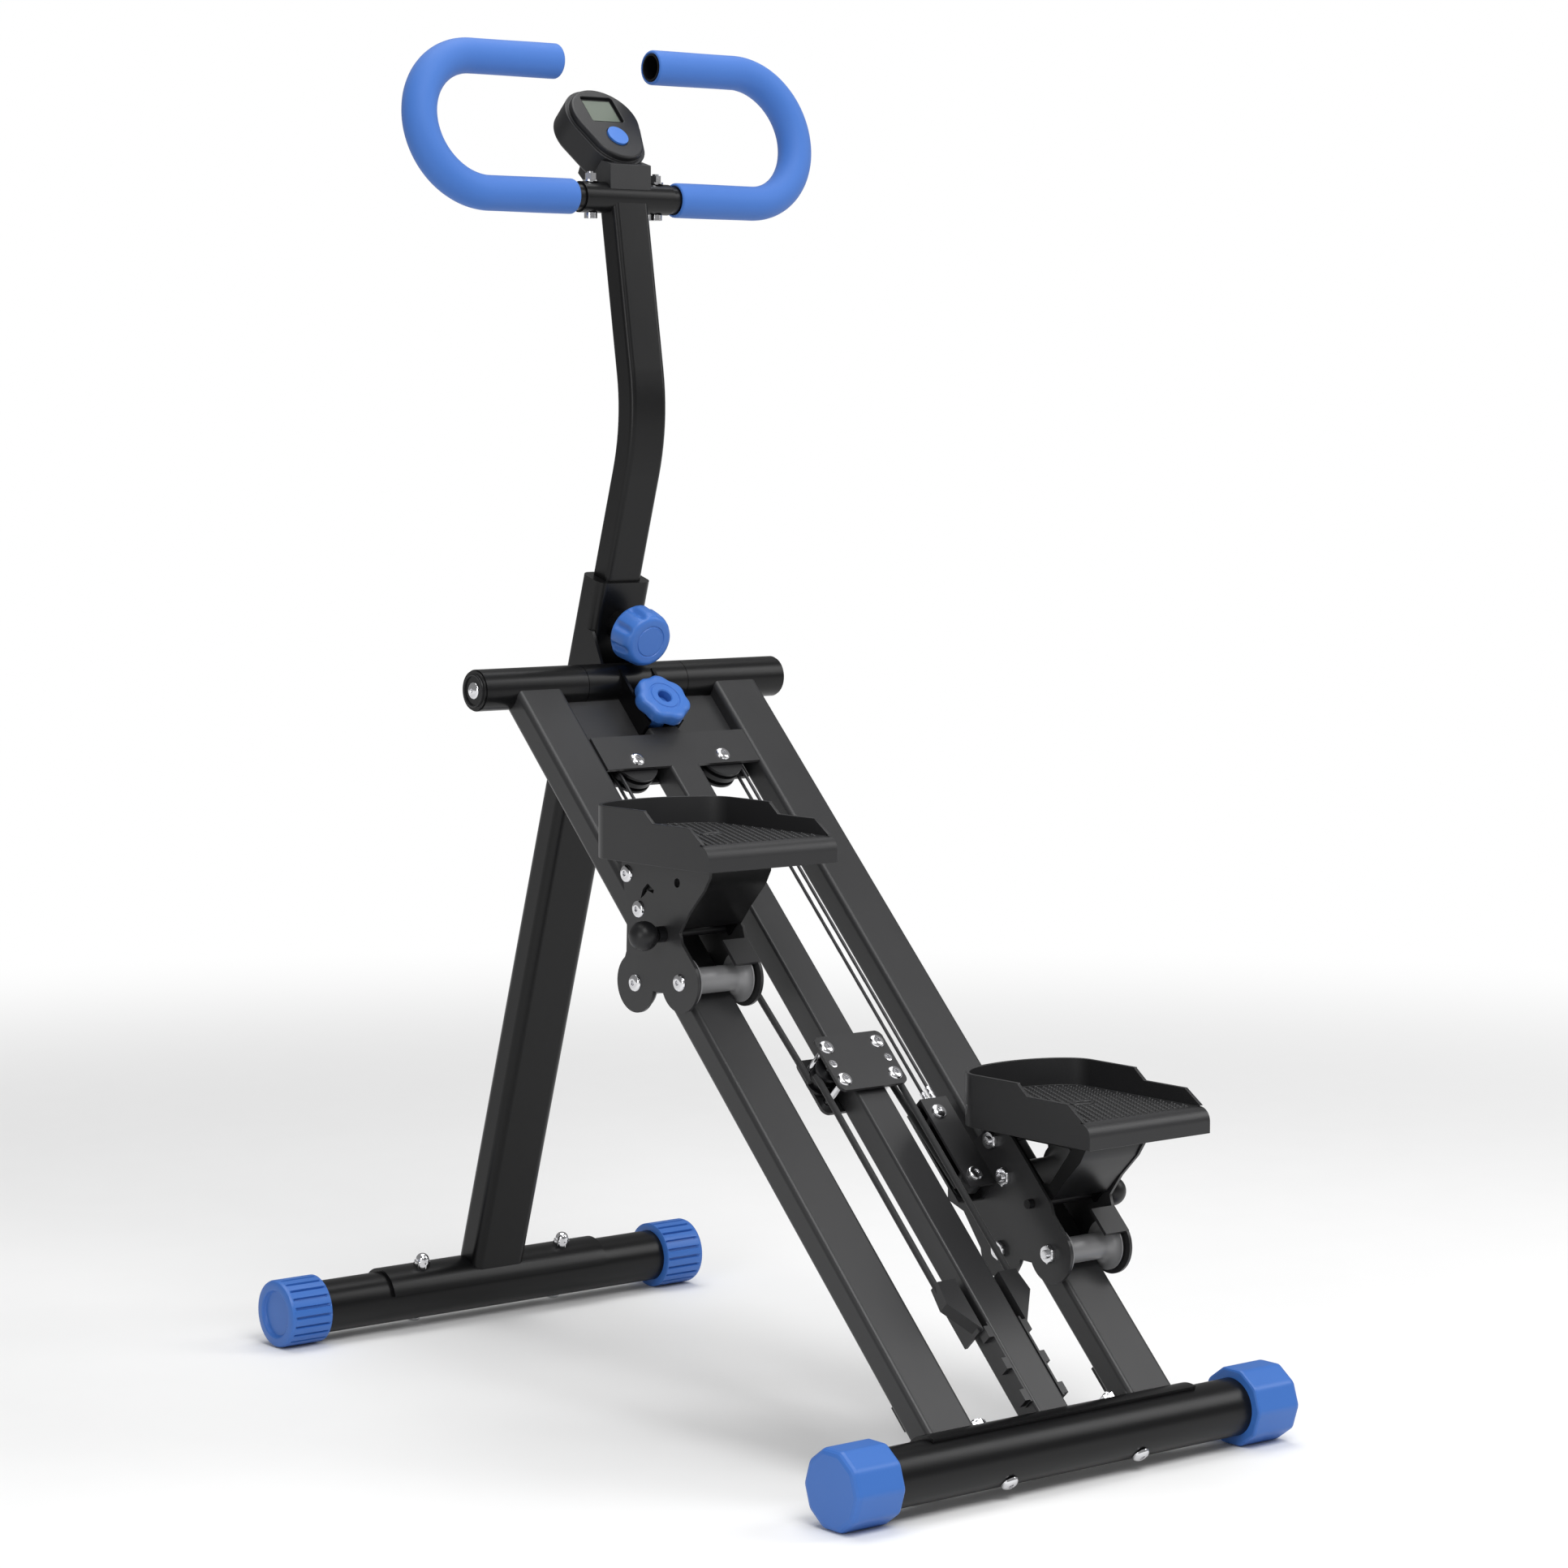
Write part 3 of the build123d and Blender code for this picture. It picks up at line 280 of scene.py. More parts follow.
def finish(name, colour, light, roughness, spread, size, depth, edge=0.0, metal=0.0, specular=0.5, sheen=0.0):
    # the colour drifts towards a lighter one with the grain's slow noise and on sharp edges
    material = bpy.data.materials.new(name)
    material.use_nodes = True
    tree = material.node_tree
    shader = tree.nodes["Principled BSDF"]
    grain = tree.nodes.new("ShaderNodeGroup")
    grain.node_tree = surfaceGrain
    for label, value in (("Size", size), ("Roughness", roughness), ("Spread", spread), ("Depth", depth)):
        grain.inputs[label].default_value = value
    mix = tree.nodes.new("ShaderNodeMix")
    mix.data_type = "RGBA"
    mix.inputs["A"].default_value = (*colour, 1)
    mix.inputs["B"].default_value = (*light, 1)
    factor = math2(tree, "MULTIPLY", grain.outputs["Mask"], 0.35)
    if edge:
        edgeTone = tree.nodes.new("ShaderNodeGroup")
        edgeTone.node_tree = lighterEdges
        edgeTone.inputs["Amount"].default_value = edge
        factor = math2(tree, "ADD", factor, edgeTone.outputs["Mask"])
    tree.links.new(factor, mix.inputs["Factor"])
    tree.links.new(mix.outputs["Result"], shader.inputs["Base Color"])
    tree.links.new(grain.outputs["Roughness"], shader.inputs["Roughness"])
    tree.links.new(grain.outputs["Normal"], shader.inputs["Normal"])
    shader.inputs["Metallic"].default_value = metal
    shader.inputs["Specular IOR Level"].default_value = specular
    shader.inputs["Sheen Weight"].default_value = sheen
    return material


# each finish: colour, lighter colour, roughness and its spread, size and depth of the grain, then what differs
finishSettings = {
    "blackPaint": ((0.019, 0.019, 0.020), (0.030, 0.030, 0.031), 0.36, 0.10, 1500.0, 0.05,
                   {"edge": 0.15, "specular": 0.42}),
    # darker, glossier black: the tubes' own paint with painted shade darkened into it; on the pedal bracket it is
    # painted shade only
    "glossBlackAndShade": ((0.0025, 0.0025, 0.0028), (0.006, 0.006, 0.0065), 0.30, 0.10, 1300.0, 0.04,
                  {"edge": 0.2, "specular": 0.26}),
    "bluePlastic": ((0.036, 0.135, 0.450), (0.052, 0.175, 0.540), 0.38, 0.10, 1100.0, 0.04, {"specular": 0.4}),
    "blackPlastic": ((0.006, 0.006, 0.007), (0.013, 0.013, 0.014), 0.40, 0.12, 1300.0, 0.08,
                     {"specular": 0.36}),
    "pedalPlastic": ((0.014, 0.014, 0.015), (0.024, 0.024, 0.025), 0.42, 0.12, 1300.0, 0.10,
                     {"specular": 0.42}),
    "foam": ((0.036, 0.130, 0.430), (0.050, 0.165, 0.510), 0.62, 0.08, 2200.0, 0.14,
             {"specular": 0.35, "sheen": 0.10}),
    "greyRoller": ((0.200, 0.200, 0.205), (0.290, 0.290, 0.295), 0.36, 0.10, 900.0, 0.04, {}),
    "chrome": ((0.70, 0.70, 0.72), (0.86, 0.86, 0.87), 0.16, 0.08, 700.0, 0.02, {"metal": 1.0}),
    "cable": ((0.035, 0.035, 0.037), (0.09, 0.09, 0.095), 0.34, 0.10, 2400.0, 0.25, {"metal": 0.4}),
    "crimp": ((0.60, 0.60, 0.62), (0.74, 0.74, 0.76), 0.30, 0.10, 1200.0, 0.10, {"metal": 1.0}),
    "cord": ((0.008, 0.008, 0.009), (0.020, 0.020, 0.021), 0.72, 0.08, 2600.0, 0.45, {"sheen": 0.2}),
    "display": ((0.085, 0.105, 0.082), (0.115, 0.140, 0.110), 0.34, 0.04, 500.0, 0.01, {"specular": 0.3}),
}
finishes = {name: finish(name, *values[:6], **values[6]) for name, values in finishSettings.items()}
slotFinish = {"black_paint": "blackPaint", "blue_plastic": "bluePlastic", "foam_grip": "foam",
              "black_plastic": "blackPlastic", "grey_roller": "greyRoller", "chrome_screws": "chrome",
              "steel_cable": "cable", "elastic_cord": "cord", "display": "display"}


# tubes given a darker, glossier black than the plates and rails: partly their own glossier paint, partly painted
# shade where the post, mast and sleeve sit in shade
darkNodes = ("front_base_tube", "rear_base_tube", "front_saddle", "main_post", "mast", "post_sleeve",
             "handle_tubes", "pivot_tube_ends", "pivot_tube_middle", "pivot_axle")


def paintNodes():
    # every imported node takes the finish of its slot, and the darker tubes the darker black with painted shade
    slots = {s["node"]: s["material_slot"] for s in frame["record"]["subparts"]}
    for name, node in nodes.items():
        material = finishes["glossBlackAndShade" if name in darkNodes else slotFinish[slots[name]]]
        if not node.material_slots:
            node.data.materials.append(material)
        for place in node.material_slots:
            place.material = material


paintNodes()
print("finishes made")

# camera, floor and light
cameraSettings = {"place": (-2.277, -2.8787, 0.8773), "turn": -38.82, "down": 5.08, "lens": 94.65}


def makeCamera(settings):
    turn, down = math.radians(settings["turn"]), math.radians(settings["down"])
    back = Vector((math.sin(turn) * math.cos(down), -math.cos(turn) * math.cos(down), math.sin(down)))
    data = bpy.data.cameras.new("camera")
    data.lens, data.sensor_width = settings["lens"], 36.0
    camera = bpy.data.objects.new("camera", data)
    camera.location = settings["place"]
    camera.rotation_mode = "QUATERNION"
    camera.rotation_quaternion = (-back).to_track_quat("-Z", "Y")
    bpy.context.scene.collection.objects.link(camera)
    bpy.context.scene.camera = camera


floorSettings = {"size": 14.0, "cells": 41, "under": 0.0005, "fadeFrom": 1.3, "fadeTo": 3.2}


def makeFloor(f):
    # level sheet just under the feet; further out its colour fades into the white of the room
    u = np.linspace(-1, 1, f["cells"]) * f["size"]
    x, y = np.meshgrid(u, u, indexing="ij")
    points = np.stack([x, y, np.full_like(x, -f["under"])], -1).reshape(-1, 3)
    pale = finish("paleFloor", (0.86, 0.86, 0.86), (0.90, 0.90, 0.90), 0.60, 0.05, 60.0, 0.01, specular=0.2)
    tree = pale.node_tree
    place = tree.nodes.new("ShaderNodeTexCoord")
    length = tree.nodes.new("ShaderNodeVectorMath")
    length.operation = "LENGTH"
    tree.links.new(place.outputs["Object"], length.inputs[0])
    fade = tree.nodes.new("ShaderNodeMapRange")
    fade.interpolation_type = "SMOOTHSTEP"
    fade.inputs["From Min"].default_value = f["fadeFrom"]
    fade.inputs["From Max"].default_value = f["fadeTo"]
    tree.links.new(length.outputs["Value"], fade.inputs["Value"])
    white = tree.nodes.new("ShaderNodeEmission")
    blend = tree.nodes.new("ShaderNodeMixShader")
    tree.links.new(fade.outputs["Result"], blend.inputs["Fac"])
    tree.links.new(tree.nodes["Principled BSDF"].outputs["BSDF"], blend.inputs[1])
    tree.links.new(white.outputs["Emission"], blend.inputs[2])
    tree.links.new(blend.outputs["Shader"], tree.nodes["Material Output"].inputs["Surface"])
    floor = makePiece("studioFloor", points, gridFaces(f["cells"], f["cells"], closeCols=False)[:, ::-1], pale)


roomSettings = {"seen": 1.0, "given": 0.27}
lightSettings = {
    "keyLight": {"place": (-0.6, -2.4, 3.3), "aim": (0, 0, 0.5), "size": (2.0, 2.0), "power": 84.0},
    "leftLight": {"place": (-3.2, -1.5, 1.3), "aim": (0, 0, 0.5), "size": (1.2, 1.6), "power": 26.0},
    "rightLight": {"place": (2.6, -1.8, 2.4), "aim": (0, 0, 0.5), "size": (1.2, 2.2), "power": 34.0},
    "topLight": {"place": (0.3, 0.4, 3.6), "aim": (0, 0, 0.3), "size": (2.6, 2.6), "power": 70.0},
}


def makeRoom(seen, given):
    # the room looks white, and lights the object with less than that
    world = bpy.data.worlds.new("studio")
    world.use_nodes = True
    tree = world.node_tree
    background = tree.nodes["Background"]
    background.inputs["Color"].default_value = (1, 1, 1, 1)
    path = tree.nodes.new("ShaderNodeLightPath")
    strength = tree.nodes.new("ShaderNodeMapRange")
    strength.inputs["To Min"].default_value = given
    strength.inputs["To Max"].default_value = seen
    tree.links.new(path.outputs["Is Camera Ray"], strength.inputs["Value"])
    tree.links.new(strength.outputs["Result"], background.inputs["Strength"])
    bpy.context.scene.world = world


def makeLight(name, place, aim, size, power):
    data = bpy.data.lights.new(name, "AREA")
    data.shape, data.size, data.size_y = "RECTANGLE", size[0], size[1]
    data.energy = power
    light = bpy.data.objects.new(name, data)
    light.location = place
    light.rotation_mode = "QUATERNION"
    light.rotation_quaternion = (Vector(aim) - Vector(place)).to_track_quat("-Z", "Y")
    bpy.context.scene.collection.objects.link(light)


makeCamera(cameraSettings)
makeFloor(floorSettings)
makeRoom(**roomSettings)
for lamp, values in lightSettings.items():
    makeLight(lamp, **values)
bpy.context.scene.view_settings.view_transform = "Standard"
print("camera, floor and light set")

# hand grips
gripSettings = {"outer": 0.016, "inner": 0.01255, "round": 0.0022, "from": 0.058, "to": 0.054,
                "straight": 0.1495, "bend": 0.0635, "tilt": 13.5, "tubeRadius": 0.0142, "swell": 0.006,
                "waves": 55, "steps": 150, "roundSteps": 6, "around": 40}


def loopPath(s, length, g):
    # distance s along the grip -> place and direction in the loop's own plane:
    # lower run outwards, half circle up, upper run back
    low = g["straight"] - g["from"]
    arc = math.pi * g["bend"]
    a = np.clip((s - low) / g["bend"], 0, math.pi)
    back = np.clip(s - low - arc, 0, None)
    x = g["from"] + np.clip(s, None, low) + g["bend"] * np.sin(a) - back
    z = g["bend"] * (1 - np.cos(a))
    return x, z, np.cos(a), np.sin(a)


def makeGrips(g):
    lo, hi = boxOf("handle_tubes")
    centre = np.array([0, lo[1] + g["tubeRadius"], lo[2] + g["tubeRadius"]])
    length = (g["straight"] - g["from"]) + math.pi * g["bend"] + (g["straight"] - g["to"])
    # the foam's section closes on itself: bore, rounded end, skin, rounded end
    turn = np.linspace(0, math.pi / 2, g["roundSteps"])
    skin = np.linspace(g["round"], length - g["round"], g["steps"])
    startEnd = g["round"] * (1 - np.sin(turn)), g["outer"] - g["round"] * (1 - np.cos(turn))
    s = np.concatenate([startEnd[0][::-1], skin, length - startEnd[0], skin[::-1]])
    r = np.concatenate([startEnd[1][::-1], np.full(len(skin), g["outer"]), startEnd[1],
                        np.full(len(skin), g["inner"])])
    x, z, dx, dz = loopPath(s, length, g)
    v = np.arange(g["around"]) * 2 * math.pi / g["around"]
    swell = 1 + g["swell"] * np.sin(s * g["waves"])[:, None] * (r > g["inner"] + 0.001)[:, None]
    across, up = (r[:, None] * swell) * np.cos(v), (r[:, None] * swell) * np.sin(v)
    px = x[:, None] - dz[:, None] * up
    pz = z[:, None] + dx[:, None] * up
    tilt = math.radians(g["tilt"])
    y = across * math.cos(tilt) + pz * math.sin(tilt)
    zz = -across * math.sin(tilt) + pz * math.cos(tilt)
    halves = []
    for side in (-1, 1):
        points = np.stack([side * px, y, zz], -1).reshape(-1, 3) + centre
        faces = gridFaces(len(s), g["around"], closeRows=True)
        piece = makePiece("gripHalf", points, faces, finishes["foam"], smooth=60)
        tidyMesh(piece.data)
        halves.append(piece)
    grips = joinPieces("foamGrips", halves, "handle", ("grips",))


# foot caps
frontCap = {"sides": 10, "face": 0.0022, "long": 0.050, "bore": 0.02515, "corner": 0.012}


def makeFrontCaps(c):
    # outline: a regular polygon whose corners are cut off by a circle a little smaller than the one round it
    lo, hi = boxOf("front_end_caps")
    apothem = (hi[2] - lo[2]) / 2
    y, z, bore = (lo[1] + hi[1]) / 2, (lo[2] + hi[2]) / 2, c["bore"]
    length, half = c["long"], hi[0]
    step = 2 * math.pi / c["sides"]

    def polygon(theta, along, radius):
        away = np.abs((theta % step) - step / 2)
        flat = 1 / np.cos(away)
        limit = 1 / math.cos(step / 2) - c["corner"]
        shape = np.minimum(flat, limit)
        return np.where(radius > bore + 0.002, radius * shape, radius + 0 * theta)

    caps = []
    for side in (-1, 1):
        f = c["face"]
        profile = [(0, 0.0), (0, apothem - 2.2 * f), (-0.35 * f, apothem - f), (-1.2 * f, apothem - 0.3 * f),
                   (-2.4 * f, apothem), (-length + f, apothem), (-length + 0.3 * f, apothem - 0.3 * f),
                   (-length, apothem - f), (-length, bore), (-0.003, bore), (-0.003, 0.0)]
        caps.append(turnedPiece("cap", profile, (side * half, y, z), (side, 0, 0), finishes["bluePlastic"],
                                "front_frame", radiusAt=polygon, turns=c["sides"] * 12, start=(0, 1, 0),
                                smooth=14))
    joinPieces("frontFootCaps", caps, "front_frame", ("front_end_caps",))


rearCap = {"ribs": 22, "groove": 0.0026, "dish": 0.0035, "dishRadius": 0.0215, "round": 0.003, "long": 0.045,
           "bore": 0.02515}


def makeRearCaps(c):
    lo, hi = boxOf("rear_end_caps")
    radius = (hi[2] - lo[2]) / 2
    y, z, half = (lo[1] + hi[1]) / 2, (lo[2] + hi[2]) / 2, hi[0]
    bore, length = c["bore"], c["long"]

    def ribbed(theta, along, r):
        # narrow grooves between flat ribs, fading out towards both ends of the cap
        wave = np.clip(np.cos(theta * c["ribs"]) * 2.6 - 1.3, 0, 1)
        fade = np.clip((-along - 0.004) / 0.003, 0, 1) * np.clip((along + length - 0.0015) / 0.002, 0, 1)
        return r - c["groove"] * wave * fade * (r > radius * 0.9)

    caps = []
    for side in (-1, 1):
        d, q = c["dishRadius"], c["round"]
        body = [(-0.003, 0.0), (-c["dish"], d - 0.001), (-c["dish"] + 0.001, d), (-0.0008, d + 0.0008),
                (0, d + 0.002), (0, radius - q), (-0.3 * q, radius - 0.3 * q), (-q, radius)]
        body += [(-x, radius) for x in np.linspace(q + 0.0008, length - 0.0008, 26)]
        body += [(-length, radius - 0.0015), (-length, bore), (-0.0065, bore), (-0.0065, 0.0)]
        caps.append(turnedPiece("cap", body, (side * half, y, z), (side, 0, 0), finishes["bluePlastic"],
                                "rear_frame", radiusAt=ribbed, turns=c["ribs"] * 12, start=(0, 1, 0),
                                smooth=30))
    joinPieces("rearFootCaps", caps, "rear_frame", ("rear_end_caps",))


# knobs
heightKnob = {"radius": 0.0272, "scallops": 8, "scallop": 0.0035, "long": 0.028, "pin": 0.005, "pinLong": 0.019}


def makeHeightKnob(k):
    axis = unit(joints["height_knob_pull"]["axis"])
    centre, high = axisSpan("height_knob", axis)
    r, long = k["radius"], k["long"]
    place = centre + (high - long) * axis

    def scalloped(theta, along, radius):
        # round hollows between broad lobes, deepest at the middle of the skirt
        wave = np.clip(-np.cos(theta * k["scallops"]), 0, 1) ** 1.5
        where = np.clip((along - 0.0008) / 0.004, 0, 1) * np.clip((long - 0.0015 - along) / 0.007, 0, 1)
        return radius - k["scallop"] * wave * where * (radius > 0.6 * r)

    profile = [(-k["pinLong"], 0.0), (-k["pinLong"], k["pin"]), (0.0004, k["pin"]), (0.0004, r - 0.004),
               (0.001, r - 0.0015)]
    profile += [(x, r - 0.0002 - 0.0025 * (x / long) ** 2) for x in np.linspace(0.003, long - 0.007, 10)]
    turn = np.linspace(0.15, math.pi / 2, 7)
    edge = r - 0.0024
    profile += [(long - 0.006 + 0.006 * math.sin(a), edge - 0.0055 * (1 - math.cos(a))) for a in turn]
    profile += [(long, 0.0155), (long - 0.0006, 0.0150), (long - 0.0006, 0.0138), (long, 0.0133), (long, 0.0)]
    turnedPiece("heightKnob", profile, place, axis, finishes["bluePlastic"], "height_knob", ("height_knob",),
                scalloped, 160)


lockKnob = {"radius": 0.0268, "lobes": 7, "wave": 0.0011, "thick": 0.014, "from": 0.0212, "hole": 0.0068,
            "ring": 0.0145, "stud": 0.004, "hub": 0.0135}


def makeLockKnob(k):
    place, axis = jointPlace("lock_knob_turn")
    low, r, stud, hub = k["from"], k["radius"], k["stud"], k["hub"]

    def lobed(theta, along, radius):
        wave = 0.5 - 0.5 * np.cos(theta * k["lobes"])
        return radius - k["wave"] * 2 * (1 - wave) ** 1.4 * (radius > 0.7 * r)

    h, g = k["hole"], k["ring"]
    top = low + k["thick"]
    profile = [(-0.0038, 0.0), (-0.0038, stud), (0.0039, stud), (0.0039, hub), (low, hub),
               (low, r - 0.003), (low + 0.001, r - 0.001), (low + 0.003, r), (top - 0.0035, r),
               (top - 0.0018, r - 0.0006), (top - 0.0006, r - 0.0022), (top, r - 0.0048), (top, g + 0.0011),
               (top - 0.0007, g + 0.0006), (top - 0.0007, g - 0.0006), (top, g - 0.0011), (top, h + 0.001),
               (top - 0.001, h), (top - 0.009, h), (top - 0.009, 0.0)]
    turnedPiece("lockKnob", profile, place, axis, finishes["bluePlastic"], "lock_knob", ("lock_knob",),
                lobed, 168)


# pedals
treadSettings = {"pitch": 0.0068, "dot": 0.0018, "high": 0.0017, "front": 0.090, "back": -0.070, "half": 0.060,
                 "hole": (0.011, 0.0065), "clear": 0.003, "lip": 0.0014, "floor": 0.022, "toeStart": 0.056,
                 "toe": 0.034, "toeHalf": 0.062, "heel": 0.085}


def makeTread(name, t):
    # dots in staggered rows, cut to the tray's rounded toe; each dot is a low faceted dome
    lo, hi = boxOf(name + "_pedal")
    cx, heel = (lo[0] + hi[0]) / 2, lo[1]
    yMiddle, top = heel + t["heel"], lo[2] + t["floor"]
    across = np.arange(-t["half"], t["half"] + 1e-6, t["pitch"])
    down = np.arange(t["back"], t["front"], t["pitch"])
    x, y = np.meshgrid(across, down, indexing="ij")
    x = x + (np.arange(len(down)) % 2)[None, :] * t["pitch"] / 2
    x, y = x.ravel(), y.ravel()
    inToe = (x / t["toeHalf"]) ** 2 + (np.clip(y - t["toeStart"], 0, None) / t["toe"]) ** 2 < 1
    a, b = t["hole"]
    offHole = (x / (a + t["clear"])) ** 2 + (y / (b + t["clear"])) ** 2 > 1
    x, y = x[inToe & offHole], y[inToe & offHole]
    v = np.arange(6) * math.pi / 3
    rings = [(1.0, -0.0002), (0.9, 0.5 * t["high"]), (0.45, t["high"])]
    dome = [(q * t["dot"] * np.cos(v), q * t["dot"] * np.sin(v), np.full(6, h)) for q, h in rings]
    one = np.concatenate([np.stack(ring, -1) for ring in dome] + [[[0, 0, t["high"] * 1.08], [0, 0, -0.0002]]])
    k = np.arange(6)
    wall, lid = gridFaces(3, 6), np.stack([12 + k, 12 + (k + 1) % 6, np.full(6, 18)], -1)
    under = np.stack([(k + 1) % 6, k, np.full(6, 19)], -1)
    count = len(x)
    middle = np.stack([cx + x, yMiddle + y, np.full(count, top)], -1)
    points = (middle[:, None, :] + one[None]).reshape(-1, 3)
    shift = (np.arange(count) * len(one))[:, None, None]
    faces = sum([(part[None] + shift).reshape(-1, part.shape[1]).tolist() for part in (wall, lid, under)], [])
    makePiece(name + "Tread", points, faces, finishes["pedalPlastic"], name + "_pedal")
    # raised lip round the drain hole
    u, w = np.arange(48) * 2 * math.pi / 48, np.arange(10) * 2 * math.pi / 10
    u, w = np.meshgrid(u, w, indexing="ij")
    lip = t["lip"]
    px = cx + (a + lip * np.cos(w)) * np.cos(u)
    py = yMiddle + (b + lip * np.cos(w)) * np.sin(u)
    pz = top + 0.0004 + lip * 0.7 * np.sin(w)
    ring = makePiece(name + "DrainLip", np.stack([px, py, pz], -1).reshape(-1, 3),
                     gridFaces(48, 10, closeRows=True), finishes["pedalPlastic"])
    tidyMesh(ring.data)
    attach(ring, name + "_pedal")


# cables and cords
cableSettings = {"radius": 0.0015, "apart": 0.0045, "across": 0.069, "strands": 6, "pitch": 0.02, "twist": 0.07,
                 "cordRadius": 0.003, "blockSide": 0.011, "hitchSide": 0.009, "behind": 0.005, "round": 14,
                 "steps": 60}


def ropePoints(start, end, radius, settings, strands=0):
    # straight run: rows along it, columns round it; a twisted rope's radius follows its strands
    start, end = np.asarray(start, float), np.asarray(end, float)
    axis = unit(end - start)
    side = unit(np.cross(axis, (0, 0, 1)))
    up = np.cross(axis, side)
    s = np.linspace(0, 1, settings["steps"])[:, None]
    v = (np.arange(settings["round"]) * 2 * math.pi / settings["round"])[None]
    length = np.linalg.norm(end - start)
    twist = settings["twist"] * np.cos(strands * v - s * length / settings["pitch"] * 2 * math.pi)
    r = radius * (1 + twist) if strands else radius + 0 * v * s
    ring = np.cos(v)[..., None] * side + np.sin(v)[..., None] * up
    points = start + (s * length)[..., None] * axis + r[..., None] * ring
    return points.reshape(-1, 3)


def makeRope(name, runs, radius, material, hides, settings, strands=0):
    # parallel runs in one mesh, not attached to any body
    rows, cols = settings["steps"], settings["round"]
    ends = np.stack([np.arange(cols)[::-1], (rows - 1) * cols + np.arange(cols)])
    points = np.concatenate([ropePoints(a, b, radius, settings, strands) for a, b in runs])
    shift = (np.arange(len(runs)) * rows * cols)[:, None, None]
    parts = (gridFaces(rows, cols), ends)
    faces = sum([(part[None] + shift).reshape(-1, part.shape[1]).tolist() for part in parts], [])
    rope = makePiece(name, points, faces, material, smooth=60)
    tidyMesh(rope.data)
    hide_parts(*hides)
    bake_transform(rope)


def makeRopes(c):
    up = unit(joints["left_carriage_slide"]["axis"])
    out = jointPlace("left_top_pulley_turn")[1]
    for name, side in sides.items():
        top = jointPlace(name + "_top_pulley_turn")[0]
        pulley = jointPlace(name + "_hitch_pulley_turn")[0]
        # the runs end inside the hitch, whose channel reaches 83 mm past the pulley's axle
        hitchEnd = pulley + up * 0.079
        reach = np.dot(top - hitchEnd, up)
        runs = []
        for h in (-c["apart"], c["apart"]):
            high = np.array([side * c["across"], *(top - up * 0.004 + out * h)[1:]])
            low = high - up * (reach - 0.004)
            runs.append((high, low))
        makeRope(name + "DriveCable", runs, c["radius"], finishes["cable"],
                 (name + "_drive_cables",), c, strands=c["strands"])
        block = jointPlace(name + "_block_pulley_turn")[0]
        a = block + np.array([side * c["blockSide"], 0, 0]) - out * c["behind"]
        b = pulley - np.array([side * c["hitchSide"], 0, 0]) - out * c["behind"]
        makeRope(name + "Cord", [(a, b)], c["cordRadius"], finishes["cord"],
                 (name + "_cord",), c)
    lo, hi = boxOf("anchor_cords")
    a = [jointPlace(n + "_block_pulley_turn")[0] + np.array([s * c["blockSide"], 0, 0]) + out * c["behind"]
         for n, s in sides.items()]
    reach = (hi[1] - lo[1]) / up[1]
    runs = [(p, p - up * (reach - 0.0035)) for p in a]
    makeRope("anchorCord", runs, c["cordRadius"], finishes["cord"],
             ("anchor_cords",), c)


# bolts, nuts and screws
def looseParts(name):
    # points of each separate solid in a node: every point takes the lowest number it is joined to
    mesh = nodes[name].data
    points = pointsOf(mesh)
    ends = np.empty(len(mesh.edges) * 2, int)
    mesh.edges.foreach_get("vertices", ends)
    _, same = np.unique(np.round(points, 5), axis=0, return_inverse=True)
    same = same.ravel()
    ends = same[ends.reshape(-1, 2)]
    label = np.arange(same.max() + 1)
    while True:
        lowest = np.minimum(label[ends[:, 0]], label[ends[:, 1]])
        new = label.copy()
        np.minimum.at(new, ends[:, 0], lowest)
        np.minimum.at(new, ends[:, 1], lowest)
        new = new[new]
        if np.array_equal(new, label):
            break
        label = new
    return [points[label[same] == k] for k in np.unique(label[same])]


baseBolt = {"shank": 0.0039, "head": 0.0080, "headHigh": 0.0044, "nut": 0.0080, "nutHigh": 0.0065,
            "cap": 0.0066, "socket": 0.0026}
plateBolt = {"shank": 0.0034, "head": 0.0072, "headHigh": 0.0034, "nut": 0.0072, "nutHigh": 0.0045,
             "cap": 0.0, "socket": 0.0023}
carriageBolt = {"shank": 0.0039, "head": 0.0078, "headHigh": 0.0034, "nut": 0.0086, "nutHigh": 0.0060,
                "cap": 0.0, "socket": 0.0024}


def boltProfile(b, low, high):
    # rows of (along, radius, hexagonal share) from the nut's end to the domed head with its hexagon socket
    rows = [(low, 0.0, 0)]
    if b["cap"]:
        r = b["cap"]
        turn = np.linspace(0.12, math.pi / 2, 8)
        rows += [(low + r * (1 - math.cos(a)), r * math.sin(a), 0) for a in turn]
        foot = low + r + b["nutHigh"] + 0.0008
    else:
        tip = 0.0022
        rows += [(low, b["shank"] - 0.0006, 0), (low + 0.0006, b["shank"], 0), (low + tip, b["shank"], 0)]
        foot = low + tip + b["nutHigh"]
    n = b["nut"]
    rows += [(foot - b["nutHigh"], n * 0.86, 0.3), (foot - b["nutHigh"] + 0.0009, n, 1), (foot - 0.0009, n, 1),
             (foot, n * 0.88, 0.3), (foot, b["shank"], 0)]
    h, top = b["head"], b["headHigh"]
    rows += [(high - top, b["shank"], 0), (high - top, h - 0.0003, 0), (high - top + 0.0006, h, 0)]
    turn = np.linspace(0.25, 1.0, 7)
    rows += [(high - top + 0.0006 + (top - 0.0006) * math.sin(a * math.pi / 2),
              b["socket"] * 1.25 + (h - b["socket"] * 1.25) * math.cos(a * math.pi / 2), 0) for a in turn]
    rows += [(high, b["socket"] * 1.1, 1), (high - 0.0004, b["socket"], 1), (high - 0.6 * top, b["socket"], 1),
             (high - 0.6 * top, 0.0, 0)]
    return rows


